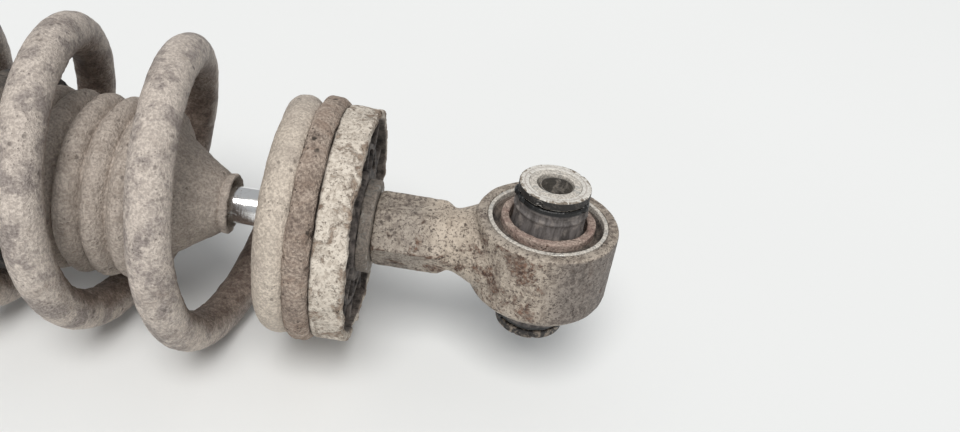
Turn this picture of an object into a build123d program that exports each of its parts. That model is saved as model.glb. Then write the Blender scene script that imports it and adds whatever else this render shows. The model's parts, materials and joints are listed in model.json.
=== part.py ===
from build123d import *
import math
import os

# Coilover strut with a bushed eye at each end.
# Origin: centre of the body end eye. +X: along the strut to the rod end eye. +Z: along both eye axes.
# Every length is in millimetres.

# Overall
EYE_TO_EYE = 340.0            # between the eye centres, fully extended
TRAVEL = 45.0                 # rod stroke from full extension to the squeezed bump stop

# Piston rod and damper tube
ROD_R = 6.2
ROD_STUD_R = 5.0              # threaded end that carries plate, washer and eye
ROD_PILOT_R = 5.0             # inner end that carries the piston
TUBE_R = 20.5
TUBE_WALL = 2.5
TUBE_FAR_END = EYE_TO_EYE - 172.0
TUBE_NEAR_END = 27.0
END_CAP_LENGTH = 5.5
END_CAP_LIP = 1.5
END_CAP_STEP = 1.0            # the lip is this much smaller than the tube

# Spring
WIRE_R = 6.6
SPRING_R = 45.0               # wire centre radius of the working turns
SPRING_END_R = 33.0           # wire centre radius of the closed end turns
SPRING_PITCH = 37.4
SPRING_START = -352.0         # degrees, from +Z towards +Y, where the wire leaves the upper seat
SPRING_TOP = EYE_TO_EYE - 81.8
SPRING_BOTTOM = 67.5
END_TURN = 228.0              # degrees of closed turn at each end
GROW_START = 14.0             # degrees after the closed turn where the radius starts to grow
GROW_SPAN = 165.0             # degrees over which it reaches the full radius
SPRING_LEAD = 4.9             # climb of the first turn at each end beyond the pitch
LEAD_SPAN = 220.0             # degrees over which that climb is made
SEAT_BEND = 60.0              # degrees over which the wire turns from flat to full pitch
WIRE_SPAN = 60.0              # degrees of wire in each of its modelled lengths
SPRING_BOW = 3.2              # how far the coils' centre line bows out at mid length
BOW_DIRECTION = 20.0          # degrees from +Z towards +Y

# Isolators and spring plates
SEAT_GAP = 0.3                # between wire and rubber
ISOLATOR_R = 40.5
ISOLATOR_WEB = 5.0
ISOLATOR_CUP = 2.9            # how far the isolator's rim runs up the wire
PLATE_R = 38.5
PLATE_WALL = 3.0
PLATE_RIM = 10.6              # depth of the upper plate's rim
PLATE_BOSS_R = 19.0
PLATE_BOSS_DEPTH = 10.0
PLATE_RING_R = 27.5
PLATE_RING_WALL = 2.4
PLATE_RIB_WALL = 2.6
PLATE_RIB_DEPTH = 7.0
PLATE_RIBS = 12
SPIGOT_R = 24.4
SPIGOT_WALL = 3.2
SPIGOT_LENGTH = 18.0
SPIGOT_CORE_R = 11.0
LOWER_PLATE_WALL = 3.5
LOWER_LIP = 3.0
SNAP_RING_SECTION = 2.5
SNAP_RING_BITE = 1.0          # depth of the snap ring's groove in the tube

# Clamp washer, strike washer and rod eye stem
CLAMP_R = 15.6
CLAMP_LENGTH = 4.0
STRIKE_R = 16.0
STRIKE_LENGTH = 2.0
HEX_FLATS = 22.0
HEX_LENGTH = 23.4
HEX_SHOULDER = 3.7            # cone between hex and round neck
STEM_NECK_R = 10.4
STUD_THREAD_IN_STEM = 18.0

# Eyes and bushes, the same at both ends
EYE_R = 23.5
EYE_HALF = 14.0
EYE_BORE_R = 19.8
EYE_FAR_EDGE = 4.5            # rounding of the edge that faces -Z
EYE_NEAR_EDGE = 1.0
SLEEVE_WALL = 1.4
RUBBER_RECESS = 2.0
INTERLEAF_R = 15.5
INTERLEAF_WALL = 2.7
INTERLEAF_HALF = 14.6
BOOT_R = 12.4                 # boot radius at its foot
BOOT_TOP_R = 11.0
BOOT_FOLD_R = 12.1
CORE_R = 8.5
CORE_BORE_R = 6.1
CORE_HALF = 27.7
CORE_PLAY = 0.05              # running clearance between core and rubber
COLLAR_R = 11.65
COLLAR_LENGTH = 3.0
COLLAR_GAP = 0.3
LINER_R = 5.5
LINER_WALL = 0.4
LINER_HALF = 26.9
LINER_OFFSET = 0.55           # the loose liner leans to the far side of the core's bore

# Body end mount
MOUNT_NECK_R = 16.0
WELD_LEG = 3.0
NECK_OVERLAP = 3.0            # how far the neck runs into the ring

# Bump stop and its cup
STOP_TIP = EYE_TO_EYE - 103.6
STOP_BASE = EYE_TO_EYE - 169.7
STOP_CONE = 18.0
STOP_TIP_R = 10.2
STOP_GROOVE_R = 9.6
STOP_CONE_R = 18.0
STOP_SPRING_GAP = 8.4         # between the folds and the inside of the coils
STOP_FOLD_DEPTH = 3.6
STOP_LOBE_PITCH = 8.4
STOP_LOBES = 5
STOP_BORE_R = 6.6
STOP_MOUTH_R = 8.7
STOP_MOUTH_DEPTH = 4.0
CUP_SPRING_GAP = 5.4          # between the cup and the inside of the coils
CUP_WALL = 2.0
CUP_SKIRT = 12.0
CUP_SLEEVE = 20.0

# Rod guide group
GUIDE_LENGTH = 20.0
GUIDE_PLAY = 0.03             # between guide and tube bore
CIRCLIP_LENGTH = 1.5
CIRCLIP_BITE = 1.0
CIRCLIP_SET_BACK = 2.0
BUSH_WALL = 1.2
BUSH_LENGTH = 10.0
ROD_PLAY = 0.05               # running clearance around the rod
SEAL_R = 12.0
SEAL_LENGTH = 6.0
WIPER_R = 10.0
WIPER_LENGTH = 2.5
O_RING_SECTION = 1.25
O_RING_PLACE = 8.0            # from the guide's outer face

# Piston group
BUMPER_R = 12.0
BUMPER_GAP = 0.3
PILOT_SHOULDER = 5.0          # from the guide's inner face
WASHER_LENGTH = 2.0
WASHER_R = 13.0
SHIM_LENGTH = 0.4
SHIMS = 5
SHIM_R = 15.0
SHIM_STEP = 1.5
PISTON_LENGTH = 12.0
PISTON_PLAY = 0.5
BAND_LENGTH = 8.0
BAND_DEPTH = 0.8
BORE_PLAY = 0.06              # running clearance of band and gas piston in the tube
PORTS = 6
PORT_R = 2.0
PORT_CIRCLE_R = 12.0
NUT_LENGTH = 6.0
ROD_TIP = 1.0                 # thread standing out of the nut
NUT_FLATS = 17.0
GAS_PISTON_LENGTH = 12.0
GAS_PISTON_GAP = 14.5         # between rod tip and gas piston when the rod is fully in
GAS_PISTON_HOLLOW_R = 11.0
GAS_PISTON_FLOOR = 5.0
PLUG_R = 2.5
PLUG_HEAD_R = 4.5
PLUG_HEAD = 2.0
PLUG_PLACE = 33.5             # from the body end eye centre

# Places that follow from the sizes above
BORE_R = TUBE_R - TUBE_WALL
STOP_R = SPRING_R - WIRE_R - STOP_SPRING_GAP
STOP_VALLEY_R = STOP_R - STOP_FOLD_DEPTH
CUP_R = SPRING_R - WIRE_R - CUP_SPRING_GAP
MOUNT_FACE = TUBE_NEAR_END - END_CAP_LIP
UPPER_WEB = SPRING_TOP + WIRE_R + SEAT_GAP
UPPER_SEAT = UPPER_WEB + ISOLATOR_WEB
LOWER_WEB = SPRING_BOTTOM - WIRE_R - SEAT_GAP
LOWER_SEAT = LOWER_WEB - ISOLATOR_WEB
SPIGOT_END = UPPER_SEAT - SPIGOT_LENGTH
ROD_SHOULDER = SPIGOT_END - STRIKE_LENGTH
PLATE_BACK = UPPER_SEAT + PLATE_RIM
CLAMP_SEAT = UPPER_SEAT + PLATE_BOSS_DEPTH
STEM_START = CLAMP_SEAT + CLAMP_LENGTH
STUD_END = STEM_START + STUD_THREAD_IN_STEM
CIRCLIP_PLACE = TUBE_FAR_END - CIRCLIP_SET_BACK - CIRCLIP_LENGTH
GUIDE_FACE = CIRCLIP_PLACE
GUIDE_INNER = GUIDE_FACE - GUIDE_LENGTH
PILOT_START = GUIDE_INNER - PILOT_SHOULDER
SHIM_STACK = SHIMS * SHIM_LENGTH
WASHER_FACE = PILOT_START - WASHER_LENGTH
PISTON_FACE = WASHER_FACE - SHIM_STACK
PISTON_BACK = PISTON_FACE - PISTON_LENGTH
NUT_FACE = PISTON_BACK - SHIM_STACK
NUT_BACK = NUT_FACE - NUT_LENGTH
ROD_INNER_END = NUT_BACK - ROD_TIP
GAS_PISTON_FACE = ROD_INNER_END - TRAVEL - GAS_PISTON_GAP
GAS_PISTON_BACK = GAS_PISTON_FACE - GAS_PISTON_LENGTH


def turned(points):
    """Solid of revolution about the strut axis from (x, radius) points."""
    outline = Polyline(*points, close=True)
    return revolve(make_face(outline), Axis.X, 360)


def tube(x0, x1, outer, inner=0.0):
    """Plain tube, or a rod, along the strut axis from x0 to x1."""
    return turned([(x0, inner), (x1, inner), (x1, outer), (x0, outer)])


def turned_z(centre, points):
    """Solid of revolution about the vertical line at x = centre from (radius, z) points."""
    line = Polyline(*[(centre + r, 0, z) for r, z in points], close=True)
    axis = Axis((centre, 0, 0), (0, 0, 1))
    return revolve(make_face(line), axis, 360)


def tube_z(centre, z0, z1, outer, inner):
    """Plain tube along the vertical line at x = centre."""
    return turned_z(centre, [(inner, z0), (outer, z0), (outer, z1), (inner, z1)])


def hexagon(x0, x1, flats):
    """Hexagonal bar along the strut axis with two flats facing up and down."""
    outline = RegularPolygon(flats / 2, 6, major_radius=False, rotation=0)
    return extrude(Plane((x0, 0, 0), x_dir=(0, 1, 0), z_dir=(1, 0, 0)) * outline, x1 - x0)


def o_ring(x, radius, section):
    """Rubber ring of round section about the strut axis."""
    circle = Plane.XY * Pos(x, radius) * Circle(section)
    return revolve(circle, Axis.X, 360)


def ease(share):
    """Smooth step from 0 to 1."""
    t = min(1.0, max(0.0, share))
    return t * t * (3 - 2 * t)


def climbed(angle):
    """Degrees of full pitch climbed: none before the seat bend, all after it, and eased within it."""
    t = min(1.0, max(0.0, angle / SEAT_BEND + 0.5))
    return SEAT_BEND * (t ** 3 - t ** 4 / 2) if t < 1 else angle


def spring_point(angle, climb):
    """Centre of the wire: a bowed helix whose radius shrinks to the flat closed turn at both ends."""
    height = SPRING_TOP - SPRING_BOTTOM
    lead = SPRING_LEAD * (ease(angle / LEAD_SPAN) + 1 - ease((climb - angle) / LEAD_SPAN))
    x = SPRING_TOP - lead - SPRING_PITCH / 360 * (climbed(angle) - climbed(angle - climb))
    grown = ease((angle - GROW_START) / GROW_SPAN) * ease((climb - angle - GROW_START) / GROW_SPAN)
    radius = SPRING_END_R + (SPRING_R - SPRING_END_R) * grown
    turn = math.radians(SPRING_START + angle)
    bow_turn = math.radians(BOW_DIRECTION)
    share = math.pi * (SPRING_TOP - x) / height
    bow = SPRING_BOW * math.sin(share)
    lean = SPRING_BOW * math.pi / height * math.cos(share) * grown
    return (x + lean * radius * math.cos(turn - bow_turn),
            radius * math.sin(turn) + bow * math.sin(bow_turn),
            radius * math.cos(turn) + bow * math.cos(bow_turn))


def coil_spring():
    """Wire swept along short splines that meet with a common tangent."""
    climb = 360 * (SPRING_TOP - SPRING_BOTTOM - 2 * SPRING_LEAD) / SPRING_PITCH
    whole = climb + 2 * END_TURN
    count = round(whole / WIRE_SPAN)
    span = whole / count

    def direction(angle):
        return Vector(*spring_point(angle + 0.5, climb)) - Vector(*spring_point(angle - 0.5, climb))

    edges = []
    for i in range(count):
        start = -END_TURN + span * i
        points = [spring_point(start + span * k / 4, climb) for k in range(5)]
        edges.append(Spline(*points, tangents=[direction(start), direction(start + span)]))
    path = Wire(edges)
    section = Plane(origin=path @ 0, z_dir=path % 0) * Circle(WIRE_R)
    return sweep(section, path=path)


def isolator(web_face, side):
    """Rubber ring between plate and wire: a flat web with a rim that cups the wire's outer side.

    side is +1 when the plate lies towards +X of the wire and -1 when it lies towards -X.
    """
    hollow = WIRE_R + SEAT_GAP
    wire_x = web_face - side * hollow
    back = web_face + side * ISOLATOR_WEB
    rim = web_face - side * ISOLATOR_CUP
    bore = SPIGOT_R + SEAT_GAP
    half_turn = math.acos((rim - wire_x) * side / hollow) / 2

    def on_hollow(angle):
        return (wire_x + side * hollow * math.cos(angle), SPRING_END_R + hollow * math.sin(angle))

    outline = [
        Line(on_hollow(2 * half_turn), (rim, ISOLATOR_R)),
        Line((rim, ISOLATOR_R), (back, ISOLATOR_R)),
        Line((back, ISOLATOR_R), (back, bore)),
        Line((back, bore), (web_face, bore)),
        Line((web_face, bore), on_hollow(0)),
        ThreePointArc(on_hollow(0), on_hollow(half_turn), on_hollow(2 * half_turn)),
    ]
    return revolve(make_face(outline), Axis.X, 360)


def upper_spring_plate():
    floor = UPPER_SEAT + PLATE_WALL
    rim = tube(UPPER_SEAT, PLATE_BACK, PLATE_R, PLATE_R - PLATE_WALL)
    web = tube(UPPER_SEAT, floor, PLATE_R, ROD_STUD_R)
    ring = tube(floor, floor + PLATE_RIB_DEPTH - 1, PLATE_RING_R, PLATE_RING_R - PLATE_RING_WALL)
    boss = tube(UPPER_SEAT, CLAMP_SEAT, PLATE_BOSS_R, ROD_STUD_R)
    spigot = tube(SPIGOT_END, UPPER_SEAT, SPIGOT_R, SPIGOT_R - SPIGOT_WALL)
    nose = tube(SPIGOT_END, SPIGOT_END + PLATE_WALL, SPIGOT_R, ROD_STUD_R)
    core = tube(SPIGOT_END, UPPER_SEAT, SPIGOT_CORE_R, ROD_STUD_R)
    plate = web + rim + ring + boss + spigot + nose + core
    reach = PLATE_R - PLATE_WALL / 2
    for i in range(PLATE_RIBS):
        rib = Box(PLATE_RIB_DEPTH - 1, PLATE_RIB_WALL, reach - PLATE_BOSS_R + 2,
                  align=(Align.MIN, Align.CENTER, Align.MIN))
        plate += Rot(360 / PLATE_RIBS * (i + 0.5), 0, 0) * (Pos(floor, 0, PLATE_BOSS_R - 2) * rib)
    return plate


def lower_spring_plate():
    face = LOWER_SEAT
    back = face - LOWER_PLATE_WALL
    lip_r = ISOLATOR_R + SEAT_GAP
    return turned([
        (back, TUBE_R), (back, lip_r + LOWER_PLATE_WALL), (face + LOWER_LIP, lip_r + LOWER_PLATE_WALL),
        (face + LOWER_LIP, lip_r), (face, lip_r), (face, TUBE_R),
    ])


def snap_ring(face):
    """Open ring of square section in the tube's groove, behind the lower plate."""
    inner = TUBE_R - SNAP_RING_BITE
    ring = tube(face - SNAP_RING_SECTION, face, inner + SNAP_RING_SECTION + 1, inner)
    gap = Box(SNAP_RING_SECTION * 3, 6, 20, align=(Align.CENTER, Align.CENTER, Align.MIN))
    return ring - Pos(face, 0, inner - 8) * gap


def damper_tube():
    body = tube(TUBE_NEAR_END, TUBE_FAR_END, TUBE_R, BORE_R)
    snap_face = LOWER_SEAT - LOWER_PLATE_WALL
    snap_groove = tube(snap_face - SNAP_RING_SECTION, snap_face, TUBE_R + 1, TUBE_R - SNAP_RING_BITE)
    circlip_groove = tube(CIRCLIP_PLACE, CIRCLIP_PLACE + CIRCLIP_LENGTH, BORE_R + CIRCLIP_BITE, 1)
    plug_hole = Pos(PLUG_PLACE, 0, BORE_R) * Cylinder(PLUG_R, TUBE_WALL * 3)
    return body - snap_groove - circlip_groove - plug_hole


def gas_port_plug():
    shank = Cylinder(PLUG_R, TUBE_WALL, align=(Align.CENTER, Align.CENTER, Align.MAX))
    head = Cylinder(PLUG_HEAD_R, PLUG_HEAD, align=(Align.CENTER, Align.CENTER, Align.MIN))
    socket = extrude(RegularPolygon(1.5, 6, major_radius=False), PLUG_HEAD + 1)
    place = Pos(PLUG_PLACE, 0, TUBE_R)
    return place * (shank + head - Pos(0, 0, 0.6) * socket)


def tube_end_cap():
    lip = tube(MOUNT_FACE, TUBE_NEAR_END, TUBE_R - END_CAP_STEP)
    spigot = tube(TUBE_NEAR_END, TUBE_NEAR_END + END_CAP_LENGTH, BORE_R)
    return lip + spigot


def eye_ring(centre):
    """Forged ring with its hole, rounded on the edge facing -Z."""
    ring = Pos(centre, 0, 0) * Cylinder(EYE_R, 2 * EYE_HALF)
    lower_edge = ring.edges().filter_by(GeomType.CIRCLE).sort_by(Axis.Z)[0]
    ring = fillet(lower_edge, min(EYE_FAR_EDGE, 0.9 * (EYE_R - EYE_BORE_R)))
    upper_edge = ring.edges().filter_by(GeomType.CIRCLE).sort_by(Axis.Z)[-1]
    return chamfer(upper_edge, EYE_NEAR_EDGE)


def eye_hole(centre):
    return Pos(centre, 0, 0) * Cylinder(EYE_BORE_R, 2 * EYE_HALF + 2)


def rod_eye():
    hex_end = STEM_START + HEX_LENGTH
    neck_start = hex_end + HEX_SHOULDER
    hexes = hexagon(STEM_START, hex_end, HEX_FLATS)
    corner = HEX_FLATS / math.sqrt(3)
    shoulder = turned([(hex_end, 0), (neck_start, 0), (neck_start, STEM_NECK_R),
                       (hex_end, corner)])
    neck_root = EYE_TO_EYE - EYE_BORE_R
    flare = turned([(neck_start, 0), (neck_root, 0), (neck_root, STEM_NECK_R + 3),
                    (EYE_TO_EYE - EYE_R + 0.5, STEM_NECK_R + 1.6),
                    (EYE_TO_EYE - EYE_R - 3.0, STEM_NECK_R + 0.3), (neck_start, STEM_NECK_R)])
    stud_hole = tube(STEM_START - 1, STUD_END + 1, ROD_STUD_R)
    shoulder_hex = hexagon(STEM_START, neck_start, HEX_FLATS)
    return hexes + (shoulder & shoulder_hex) + flare + eye_ring(EYE_TO_EYE) - eye_hole(EYE_TO_EYE) - stud_hole


def body_eye():
    neck = tube(EYE_BORE_R - NECK_OVERLAP, MOUNT_FACE, MOUNT_NECK_R)
    return eye_ring(0) + neck - eye_hole(0)


def mount_weld():
    """Fillet weld between the mount's neck and the tube end cap."""
    toe = MOUNT_FACE - WELD_LEG
    bead = turned([(MOUNT_FACE, MOUNT_NECK_R), (MOUNT_FACE, MOUNT_NECK_R + WELD_LEG), (toe, MOUNT_NECK_R)])
    return bead - Cylinder(EYE_R, 2 * EYE_HALF)


def bush(centre, end, bore_r):
    """The pieces of one eye bush, from the housing inwards."""
    sleeve_in = EYE_BORE_R - SLEEVE_WALL
    leaf_in = INTERLEAF_R - INTERLEAF_WALL
    core_clear = CORE_R + CORE_PLAY
    collar_face = CORE_HALF - COLLAR_LENGTH
    boot_top = collar_face - COLLAR_GAP
    outer_half = EYE_HALF - RUBBER_RECESS
    inner_half = EYE_HALF - RUBBER_RECESS - 2
    half_boot = [(core_clear, boot_top), (BOOT_TOP_R, boot_top), (BOOT_TOP_R, boot_top - 2),
                 (BOOT_FOLD_R, boot_top - 4.3), (BOOT_TOP_R + 0.5, boot_top - 6.6),
                 (BOOT_R, inner_half), (leaf_in, inner_half)]
    lower = [(r, -z) for r, z in reversed(half_boot)]
    boot = turned_z(centre, half_boot + lower)
    groove = 1.5
    outer_rubber = turned_z(centre, [
        (INTERLEAF_R, -outer_half), (INTERLEAF_R + groove, -outer_half + groove), (sleeve_in, -outer_half),
        (sleeve_in, outer_half), (INTERLEAF_R + groove, outer_half - groove), (INTERLEAF_R, outer_half)])
    return {
        end + "_outer_sleeve": tube_z(centre, -EYE_HALF, EYE_HALF, EYE_BORE_R, sleeve_in),
        end + "_outer_rubber": outer_rubber,
        end + "_interleaf_ring": tube_z(centre, -INTERLEAF_HALF, INTERLEAF_HALF, INTERLEAF_R, leaf_in),
        end + "_boot": boot,
        end + "_inner_sleeve": tube_z(centre, -CORE_HALF, CORE_HALF, CORE_R, bore_r),
        end + "_upper_collar": tube_z(centre, collar_face, CORE_HALF, COLLAR_R, CORE_R),
        end + "_lower_collar": tube_z(centre, -CORE_HALF, -collar_face, COLLAR_R, CORE_R),
    }


def bolt_liner():
    """Thin loose tube in the rod end core. It leans against the far side of the bore."""
    centre = EYE_TO_EYE + LINER_OFFSET
    return tube_z(centre, -LINER_HALF, LINER_HALF, LINER_R, LINER_R - LINER_WALL)


def piston_rod():
    return turned([
        (ROD_INNER_END, 0), (STUD_END, 0), (STUD_END, ROD_STUD_R), (ROD_SHOULDER, ROD_STUD_R),
        (ROD_SHOULDER, ROD_R), (PILOT_START, ROD_R), (PILOT_START, ROD_PILOT_R),
        (ROD_INNER_END, ROD_PILOT_R),
    ])


def strike_washer():
    return tube(ROD_SHOULDER, SPIGOT_END, STRIKE_R, ROD_STUD_R)


def clamp_washer():
    return tube(CLAMP_SEAT, STEM_START, CLAMP_R, ROD_STUD_R)


def lobe_outline():
    """Points of the lobed flank, from the base towards the cone."""
    amplitude = (STOP_R - STOP_VALLEY_R) / 2
    points = []
    steps = 6
    for i in range(STOP_LOBES * steps + 1):
        swing = 2 * math.pi * i / steps
        points.append((STOP_BASE + STOP_LOBE_PITCH * i / steps,
                       STOP_VALLEY_R + amplitude * (1 - math.cos(swing))))
    return points


def bump_stop():
    cone_start = STOP_TIP - STOP_CONE
    flank = [p for p in lobe_outline() if p[0] < cone_start]
    return turned([(STOP_BASE, STOP_BORE_R)] + flank + [
        (cone_start, STOP_CONE_R), (STOP_TIP - 3.4, STOP_TIP_R + 0.1), (STOP_TIP - 3, STOP_GROOVE_R),
        (STOP_TIP - 2.6, STOP_TIP_R), (STOP_TIP, STOP_TIP_R), (STOP_TIP, STOP_MOUTH_R),
        (STOP_TIP - STOP_MOUTH_DEPTH, STOP_BORE_R),
    ])


def bump_stop_cup():
    """Pressed cup over the tube's end that the bump stop stands on."""
    return turned([
        (STOP_BASE, ROD_R + 2), (STOP_BASE, CUP_R), (STOP_BASE - CUP_SKIRT, CUP_R),
        (STOP_BASE - CUP_SKIRT, CUP_R - CUP_WALL), (STOP_BASE - CUP_WALL, CUP_R - CUP_WALL),
        (STOP_BASE - CUP_WALL, TUBE_R + CUP_WALL), (STOP_BASE - CUP_SLEEVE, TUBE_R + CUP_WALL),
        (STOP_BASE - CUP_SLEEVE, TUBE_R), (STOP_BASE - CUP_WALL, TUBE_R), (STOP_BASE - CUP_WALL, ROD_R + 2),
    ])


def rod_guide():
    outer = BORE_R - GUIDE_PLAY
    body = tube(GUIDE_INNER, GUIDE_FACE, outer, ROD_R + ROD_PLAY + BUSH_WALL)
    seal_seat = tube(GUIDE_FACE - WIPER_LENGTH - SEAL_LENGTH, GUIDE_FACE + 1, SEAL_R)
    groove_x = GUIDE_FACE - O_RING_PLACE
    groove = tube(groove_x - O_RING_SECTION, groove_x + O_RING_SECTION, BORE_R + 1, BORE_R - 2 * O_RING_SECTION)
    return body - seal_seat - groove


def guide_bush():
    inner = ROD_R + ROD_PLAY
    return tube(GUIDE_INNER, GUIDE_INNER + BUSH_LENGTH, inner + BUSH_WALL, inner)


def rod_seal():
    face = GUIDE_FACE - WIPER_LENGTH
    return turned([
        (face - SEAL_LENGTH, SEAL_R), (face - SEAL_LENGTH, SEAL_R - 2), (face - 2, SEAL_R - 2),
        (face - 2, ROD_R + 2), (face - SEAL_LENGTH + 1, ROD_R + 1.6),
        (face - SEAL_LENGTH + 1, ROD_R + ROD_PLAY), (face, ROD_R + ROD_PLAY), (face, SEAL_R),
    ])


def rod_wiper():
    return turned([
        (GUIDE_FACE - WIPER_LENGTH, SEAL_R), (GUIDE_FACE - WIPER_LENGTH, ROD_R + 1.2),
        (GUIDE_FACE - 1, ROD_R + ROD_PLAY), (GUIDE_FACE, ROD_R + ROD_PLAY),
        (GUIDE_FACE, WIPER_R), (GUIDE_FACE - 0.5, SEAL_R),
    ])


def head_circlip():
    ring = tube(CIRCLIP_PLACE, CIRCLIP_PLACE + CIRCLIP_LENGTH, BORE_R + CIRCLIP_BITE, BORE_R - 2.5)
    gap = Box(CIRCLIP_LENGTH * 3, 9, 12, align=(Align.CENTER, Align.CENTER, Align.MIN))
    return ring - Pos(CIRCLIP_PLACE, 0, BORE_R - 6) * gap


def head_o_ring():
    return o_ring(GUIDE_FACE - O_RING_PLACE, BORE_R - O_RING_SECTION, O_RING_SECTION)


def rebound_bumper():
    return tube(PILOT_START, GUIDE_INNER - BUMPER_GAP, BUMPER_R, ROD_R)


def rebound_washer():
    return tube(WASHER_FACE, PILOT_START, WASHER_R, ROD_PILOT_R)


def shim_stack(face, side):
    """Valve discs on the piston, the widest against it, each one a step smaller."""
    stack = []
    for i in range(SHIMS):
        inner = face + side * i * SHIM_LENGTH
        outer = inner + side * SHIM_LENGTH
        stack.append(tube(min(inner, outer), max(inner, outer), SHIM_R - i * SHIM_STEP, ROD_PILOT_R))
    solid = stack[0]
    for disc in stack[1:]:
        solid += disc
    return solid


def piston():
    body = tube(PISTON_BACK, PISTON_FACE, BORE_R - PISTON_PLAY, ROD_PILOT_R)
    middle = (PISTON_BACK + PISTON_FACE) / 2
    body -= tube(middle - BAND_LENGTH / 2, middle + BAND_LENGTH / 2, BORE_R, BORE_R - PISTON_PLAY - BAND_DEPTH)
    for i in range(PORTS):
        port = Pos(middle, 0, PORT_CIRCLE_R) * Rot(0, 90, 0) * Cylinder(PORT_R, PISTON_LENGTH + 2)
        body -= Rot(360 / PORTS * i, 0, 0) * port
    return body


def piston_band():
    middle = (PISTON_BACK + PISTON_FACE) / 2
    return tube(middle - BAND_LENGTH / 2, middle + BAND_LENGTH / 2, BORE_R - BORE_PLAY,
                BORE_R - PISTON_PLAY - BAND_DEPTH)


def piston_nut():
    return hexagon(NUT_BACK, NUT_FACE, NUT_FLATS) - tube(NUT_BACK - 1, NUT_FACE + 1, ROD_PILOT_R)


def floating_piston():
    middle = (GAS_PISTON_BACK + GAS_PISTON_FACE) / 2
    body = tube(GAS_PISTON_BACK, GAS_PISTON_FACE, BORE_R - BORE_PLAY)
    body -= tube(GAS_PISTON_BACK - 1, GAS_PISTON_FACE - GAS_PISTON_FLOOR, GAS_PISTON_HOLLOW_R)
    groove = tube(middle - O_RING_SECTION, middle + O_RING_SECTION, BORE_R + 1, BORE_R - 2 * O_RING_SECTION)
    return body - groove


def floating_piston_o_ring():
    middle = (GAS_PISTON_BACK + GAS_PISTON_FACE) / 2
    section = O_RING_SECTION - BORE_PLAY / 2
    return o_ring(middle, BORE_R - 2 * O_RING_SECTION + section, section)


nodes = {
    "damper_tube": damper_tube(),
    "tube_end_cap": tube_end_cap(),
    "body_eye": body_eye(),
    "mount_weld": mount_weld(),
    "gas_port_plug": gas_port_plug(),
    "lower_spring_plate": lower_spring_plate(),
    "lower_plate_snap_ring": snap_ring(LOWER_SEAT - LOWER_PLATE_WALL),
    "lower_isolator": isolator(LOWER_WEB, -1),
    "coil_spring": coil_spring(),
    "bump_stop_cup": bump_stop_cup(),
    "bump_stop": bump_stop(),
    "rod_guide": rod_guide(),
    "guide_bush": guide_bush(),
    "rod_seal": rod_seal(),
    "rod_wiper": rod_wiper(),
    "head_o_ring": head_o_ring(),
    "head_circlip": head_circlip(),
    "piston_rod": piston_rod(),
    "strike_washer": strike_washer(),
    "upper_spring_plate": upper_spring_plate(),
    "upper_isolator": isolator(UPPER_WEB, 1),
    "clamp_washer": clamp_washer(),
    "rod_eye": rod_eye(),
    "rebound_bumper": rebound_bumper(),
    "rebound_washer": rebound_washer(),
    "rebound_shims": shim_stack(PISTON_FACE, 1),
    "piston": piston(),
    "piston_band": piston_band(),
    "compression_shims": shim_stack(PISTON_BACK, -1),
    "piston_nut": piston_nut(),
    "floating_piston": floating_piston(),
    "floating_piston_o_ring": floating_piston_o_ring(),
    "rod_end_bolt_liner": bolt_liner(),
}
nodes.update(bush(EYE_TO_EYE, "rod_end", CORE_BORE_R))
nodes.update(bush(0.0, "body_end", CORE_BORE_R))

os.makedirs("parts", exist_ok=True)
for name, solid in nodes.items():
    export_step(solid, "parts/" + name + ".step")
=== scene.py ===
"""Coilover strut: the looks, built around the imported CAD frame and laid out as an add-on."""
import json
import math

import bpy
import numpy as np
from bpy.props import FloatProperty, FloatVectorProperty, PointerProperty
from bpy.types import Operator, Panel, PropertyGroup
from mathutils import Matrix, Vector


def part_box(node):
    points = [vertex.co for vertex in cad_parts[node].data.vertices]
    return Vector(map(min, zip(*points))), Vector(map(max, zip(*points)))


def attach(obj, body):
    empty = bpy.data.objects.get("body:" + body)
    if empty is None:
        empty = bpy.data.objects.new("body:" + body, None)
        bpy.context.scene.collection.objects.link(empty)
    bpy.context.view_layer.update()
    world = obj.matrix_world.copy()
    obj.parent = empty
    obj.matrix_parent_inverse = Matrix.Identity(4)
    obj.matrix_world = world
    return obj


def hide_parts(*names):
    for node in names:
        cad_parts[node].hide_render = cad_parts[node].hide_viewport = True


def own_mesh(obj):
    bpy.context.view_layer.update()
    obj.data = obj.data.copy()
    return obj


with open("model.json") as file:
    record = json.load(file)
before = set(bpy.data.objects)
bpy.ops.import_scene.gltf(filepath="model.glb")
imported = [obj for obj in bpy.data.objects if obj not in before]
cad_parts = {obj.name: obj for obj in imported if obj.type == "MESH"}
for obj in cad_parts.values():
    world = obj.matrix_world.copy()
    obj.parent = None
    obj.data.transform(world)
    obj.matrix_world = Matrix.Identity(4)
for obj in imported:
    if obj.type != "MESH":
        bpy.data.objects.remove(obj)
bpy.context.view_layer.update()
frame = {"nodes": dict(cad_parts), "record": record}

bl_info = {
    "name": "Coilover strut",
    "version": (1, 0, 0),
    "blender": (4, 5, 0),
    "location": "View3D > Sidebar > Coilover",
    "description": "Builds the visible pieces and finishes of a used coilover strut",
    "category": "Object",
}

MM = 0.001
TWO_PI = 2 * math.pi
SLOTS = {entry["node"]: entry["material_slot"] for entry in frame["record"]["subparts"]}
BODIES = {node: body for body, nodes in frame["record"]["behaviour"]["bodies"].items() for node in nodes}
FLOOR_HALF = 40.0
SKY_COLOUR, SKY_STRENGTH = (0.96, 0.98, 1.0, 1), 0.42
SUN_STRENGTH, SUN_SPREAD, SUN_COLOUR = 2.35, math.radians(32), (1.0, 0.985, 0.965)
SUN_DIRECTION = (0.04, 0.66, -1.0)
CAMERA_PLACE = (0.31767, -0.25657, 0.18291)
CAMERA_RIGHT, CAMERA_AHEAD = (0.98748, 0.08746, 0.1313), (0.0005, 0.8305, -0.5570)
SENSOR_WIDTH = 36.0


# ---------------------------------------------------------------- measures taken from the CAD nodes

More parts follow.
